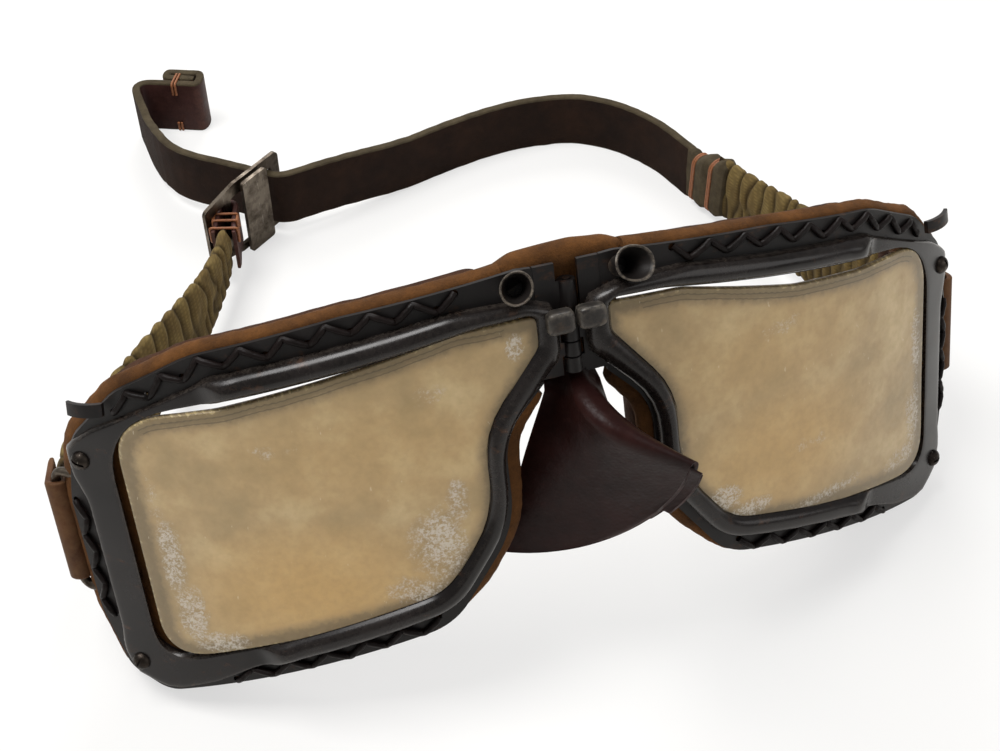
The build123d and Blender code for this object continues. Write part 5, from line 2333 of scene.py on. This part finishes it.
class Studio:
    """Pale floor, soft lamps and the camera."""

    def floor(self) -> None:
        """Lays a plain floor that shows as white and keeps the object's shadow."""
        n = Nodes("pale_studio_floor")
        camera, through = (n.add("LightPath", out=f"Is {ray} Ray") for ray in ("Camera", "Transmission"))
        seen = n.add("Math", {0: camera, 1: through}, operation="MAXIMUM")
        paint = n.add("BsdfPrincipled", {"Base Color": colour("#E9E7E3"), "Roughness": 0.9})
        glow = n.add("Emission", {"Color": (1, 1, 1, 1), "Strength": 1.0})
        both = {0: n.add("Math", {0: seen, 1: 0.62}, **PRODUCT), 1: paint, 2: glow}
        n.add("OutputMaterial", {"Surface": n.add("MixShader", both)})
        mesh = bpy.data.meshes.new("studio_floor")
        corners = [(-4.0, -4.0, 0.0), (4.0, -4.0, 0.0), (4.0, 4.0, 0.0), (-4.0, 4.0, 0.0)]
        mesh.from_pydata(corners, [], [(0, 1, 2, 3)])
        mesh.materials.append(n.material)
        shown("studio_floor", mesh)

    def lamp(self, name: str, spot: tuple[float, float, float], size: float, power: float) -> None:
        """Hangs a square soft lamp that shines at the goggles.

        Args:
            name: its name.
            spot: its place in metres.
            size: its side in metres.
            power: its power in watts.
        """
        light = bpy.data.lights.new(name, "AREA")
        light.shape = "SQUARE"
        light.size = size
        light.energy = power
        holder = shown(name, light)
        holder.location = spot
        way = Vector((0.0, -0.03, 0.03)) - Vector(spot)
        holder.rotation_euler = way.to_track_quat("-Z", "Y").to_euler()

    def world(self) -> None:
        """Lights the set evenly, with a white background for the camera."""
        world = bpy.data.worlds.new("soft_room")
        bpy.context.scene.world = world
        world.use_nodes = True
        n = Tree(world.node_tree)
        dim, white = (n.add("Background", {"Color": (1, 1, 1, 1), "Strength": power}) for power in (0.3, 1.0))
        both = n.add("MixShader", {0: n.add("LightPath", out="Is Camera Ray"), 1: dim, 2: white})
        n.add("OutputWorld", {0: both})

    def camera(self) -> None:
        """Sets the camera at the photograph's angle."""
        camera = bpy.data.cameras.new("photo_camera")
        camera.lens = 54.0
        camera.sensor_width = 36.0
        camera.clip_start = 0.01
        holder = shown("photo_camera", camera)
        right = Vector((0.9539, -0.3001, -0.005))
        up = Vector((0.2184, 0.6827, 0.6973))
        back = right.cross(up)
        turn = Matrix((right, up, back)).transposed().to_4x4()
        holder.matrix_world = Matrix.Translation(on_table(-68.4, -179.2, 261.1)) @ turn
        bpy.context.scene.camera = holder

    def build(self) -> None:
        """Sets everything up."""
        bpy.context.scene.view_settings.view_transform = "Standard"
        self.floor()
        self.world()
        self.lamp("key_lamp", (-0.3, 0.05, 0.8), 0.4, 6.4)
        self.lamp("fill_lamp", (0.55, -0.45, 0.5), 0.6, 1.6)
        self.lamp("back_lamp", (0.15, 0.6, 0.55), 0.35, 3.6)
        self.camera()


@dataclass
class Goggles:
    """The whole object, built sub-assembly by sub-assembly."""

    nodes: dict[str, Object]

    def paint(self, node: str, finish: Finish) -> None:
        """Gives a node that is kept as it is a finer material.

        Args:
            node: the node's name.
            finish: its new finish.
        """
        for slot in self.nodes[node].material_slots:
            slot.material = finish.material
        LOG.info("%s: kept, painted %s", node, finish.material.name)

    def build(self) -> None:
        """Builds the frames, the soft pieces and the strap."""
        thongs = ThongTool()
        domes = ScrewTool()
        for side in Side:
            Rim(side).build()
            Lens(side).build()
            Lacing(side).build(thongs)
            Screws(side).build(domes)
            Trumpet(side).build()
            Catch(side).build()
            Mask(side).build()
            Cushion(side).build()
            TempleTab(side).build()
            Elastic(side).build()
            self.paint(side.node("base_frame"), Finish.FRAME)
            self.paint(side.node("hinge_leaf"), Finish.HINGE)
            self.paint(side.node("corner_tab"), Finish.HINGE)
            self.paint(side.node("strap_loop"), Finish.NICKEL)
        self.paint("hinge_pin", Finish.HINGE)
        self.paint("buckle_frame", Finish.NICKEL)
        self.paint("buckle_bar", Finish.NICKEL)
        Bridge().build()
        Guard("nose_saddle", "nose_guard").build()
        Guard("nose_saddle_backing", "nose_guard_backing", 0.9, 2.05, (13.0, 5.0), 1.4).build()
        for leather in (RearStrap(), Splice(), Chape()):
            leather.build()
            leather.stitches(thongs)


def main() -> None:
    """Builds the goggles and the set, and notes how big the result is."""
    logging.basicConfig(level=logging.INFO, format="%(name)s: %(message)s")
    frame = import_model()
    Goggles(frame["nodes"]).build()
    Studio().build()


if __name__ == "__main__":
    main()
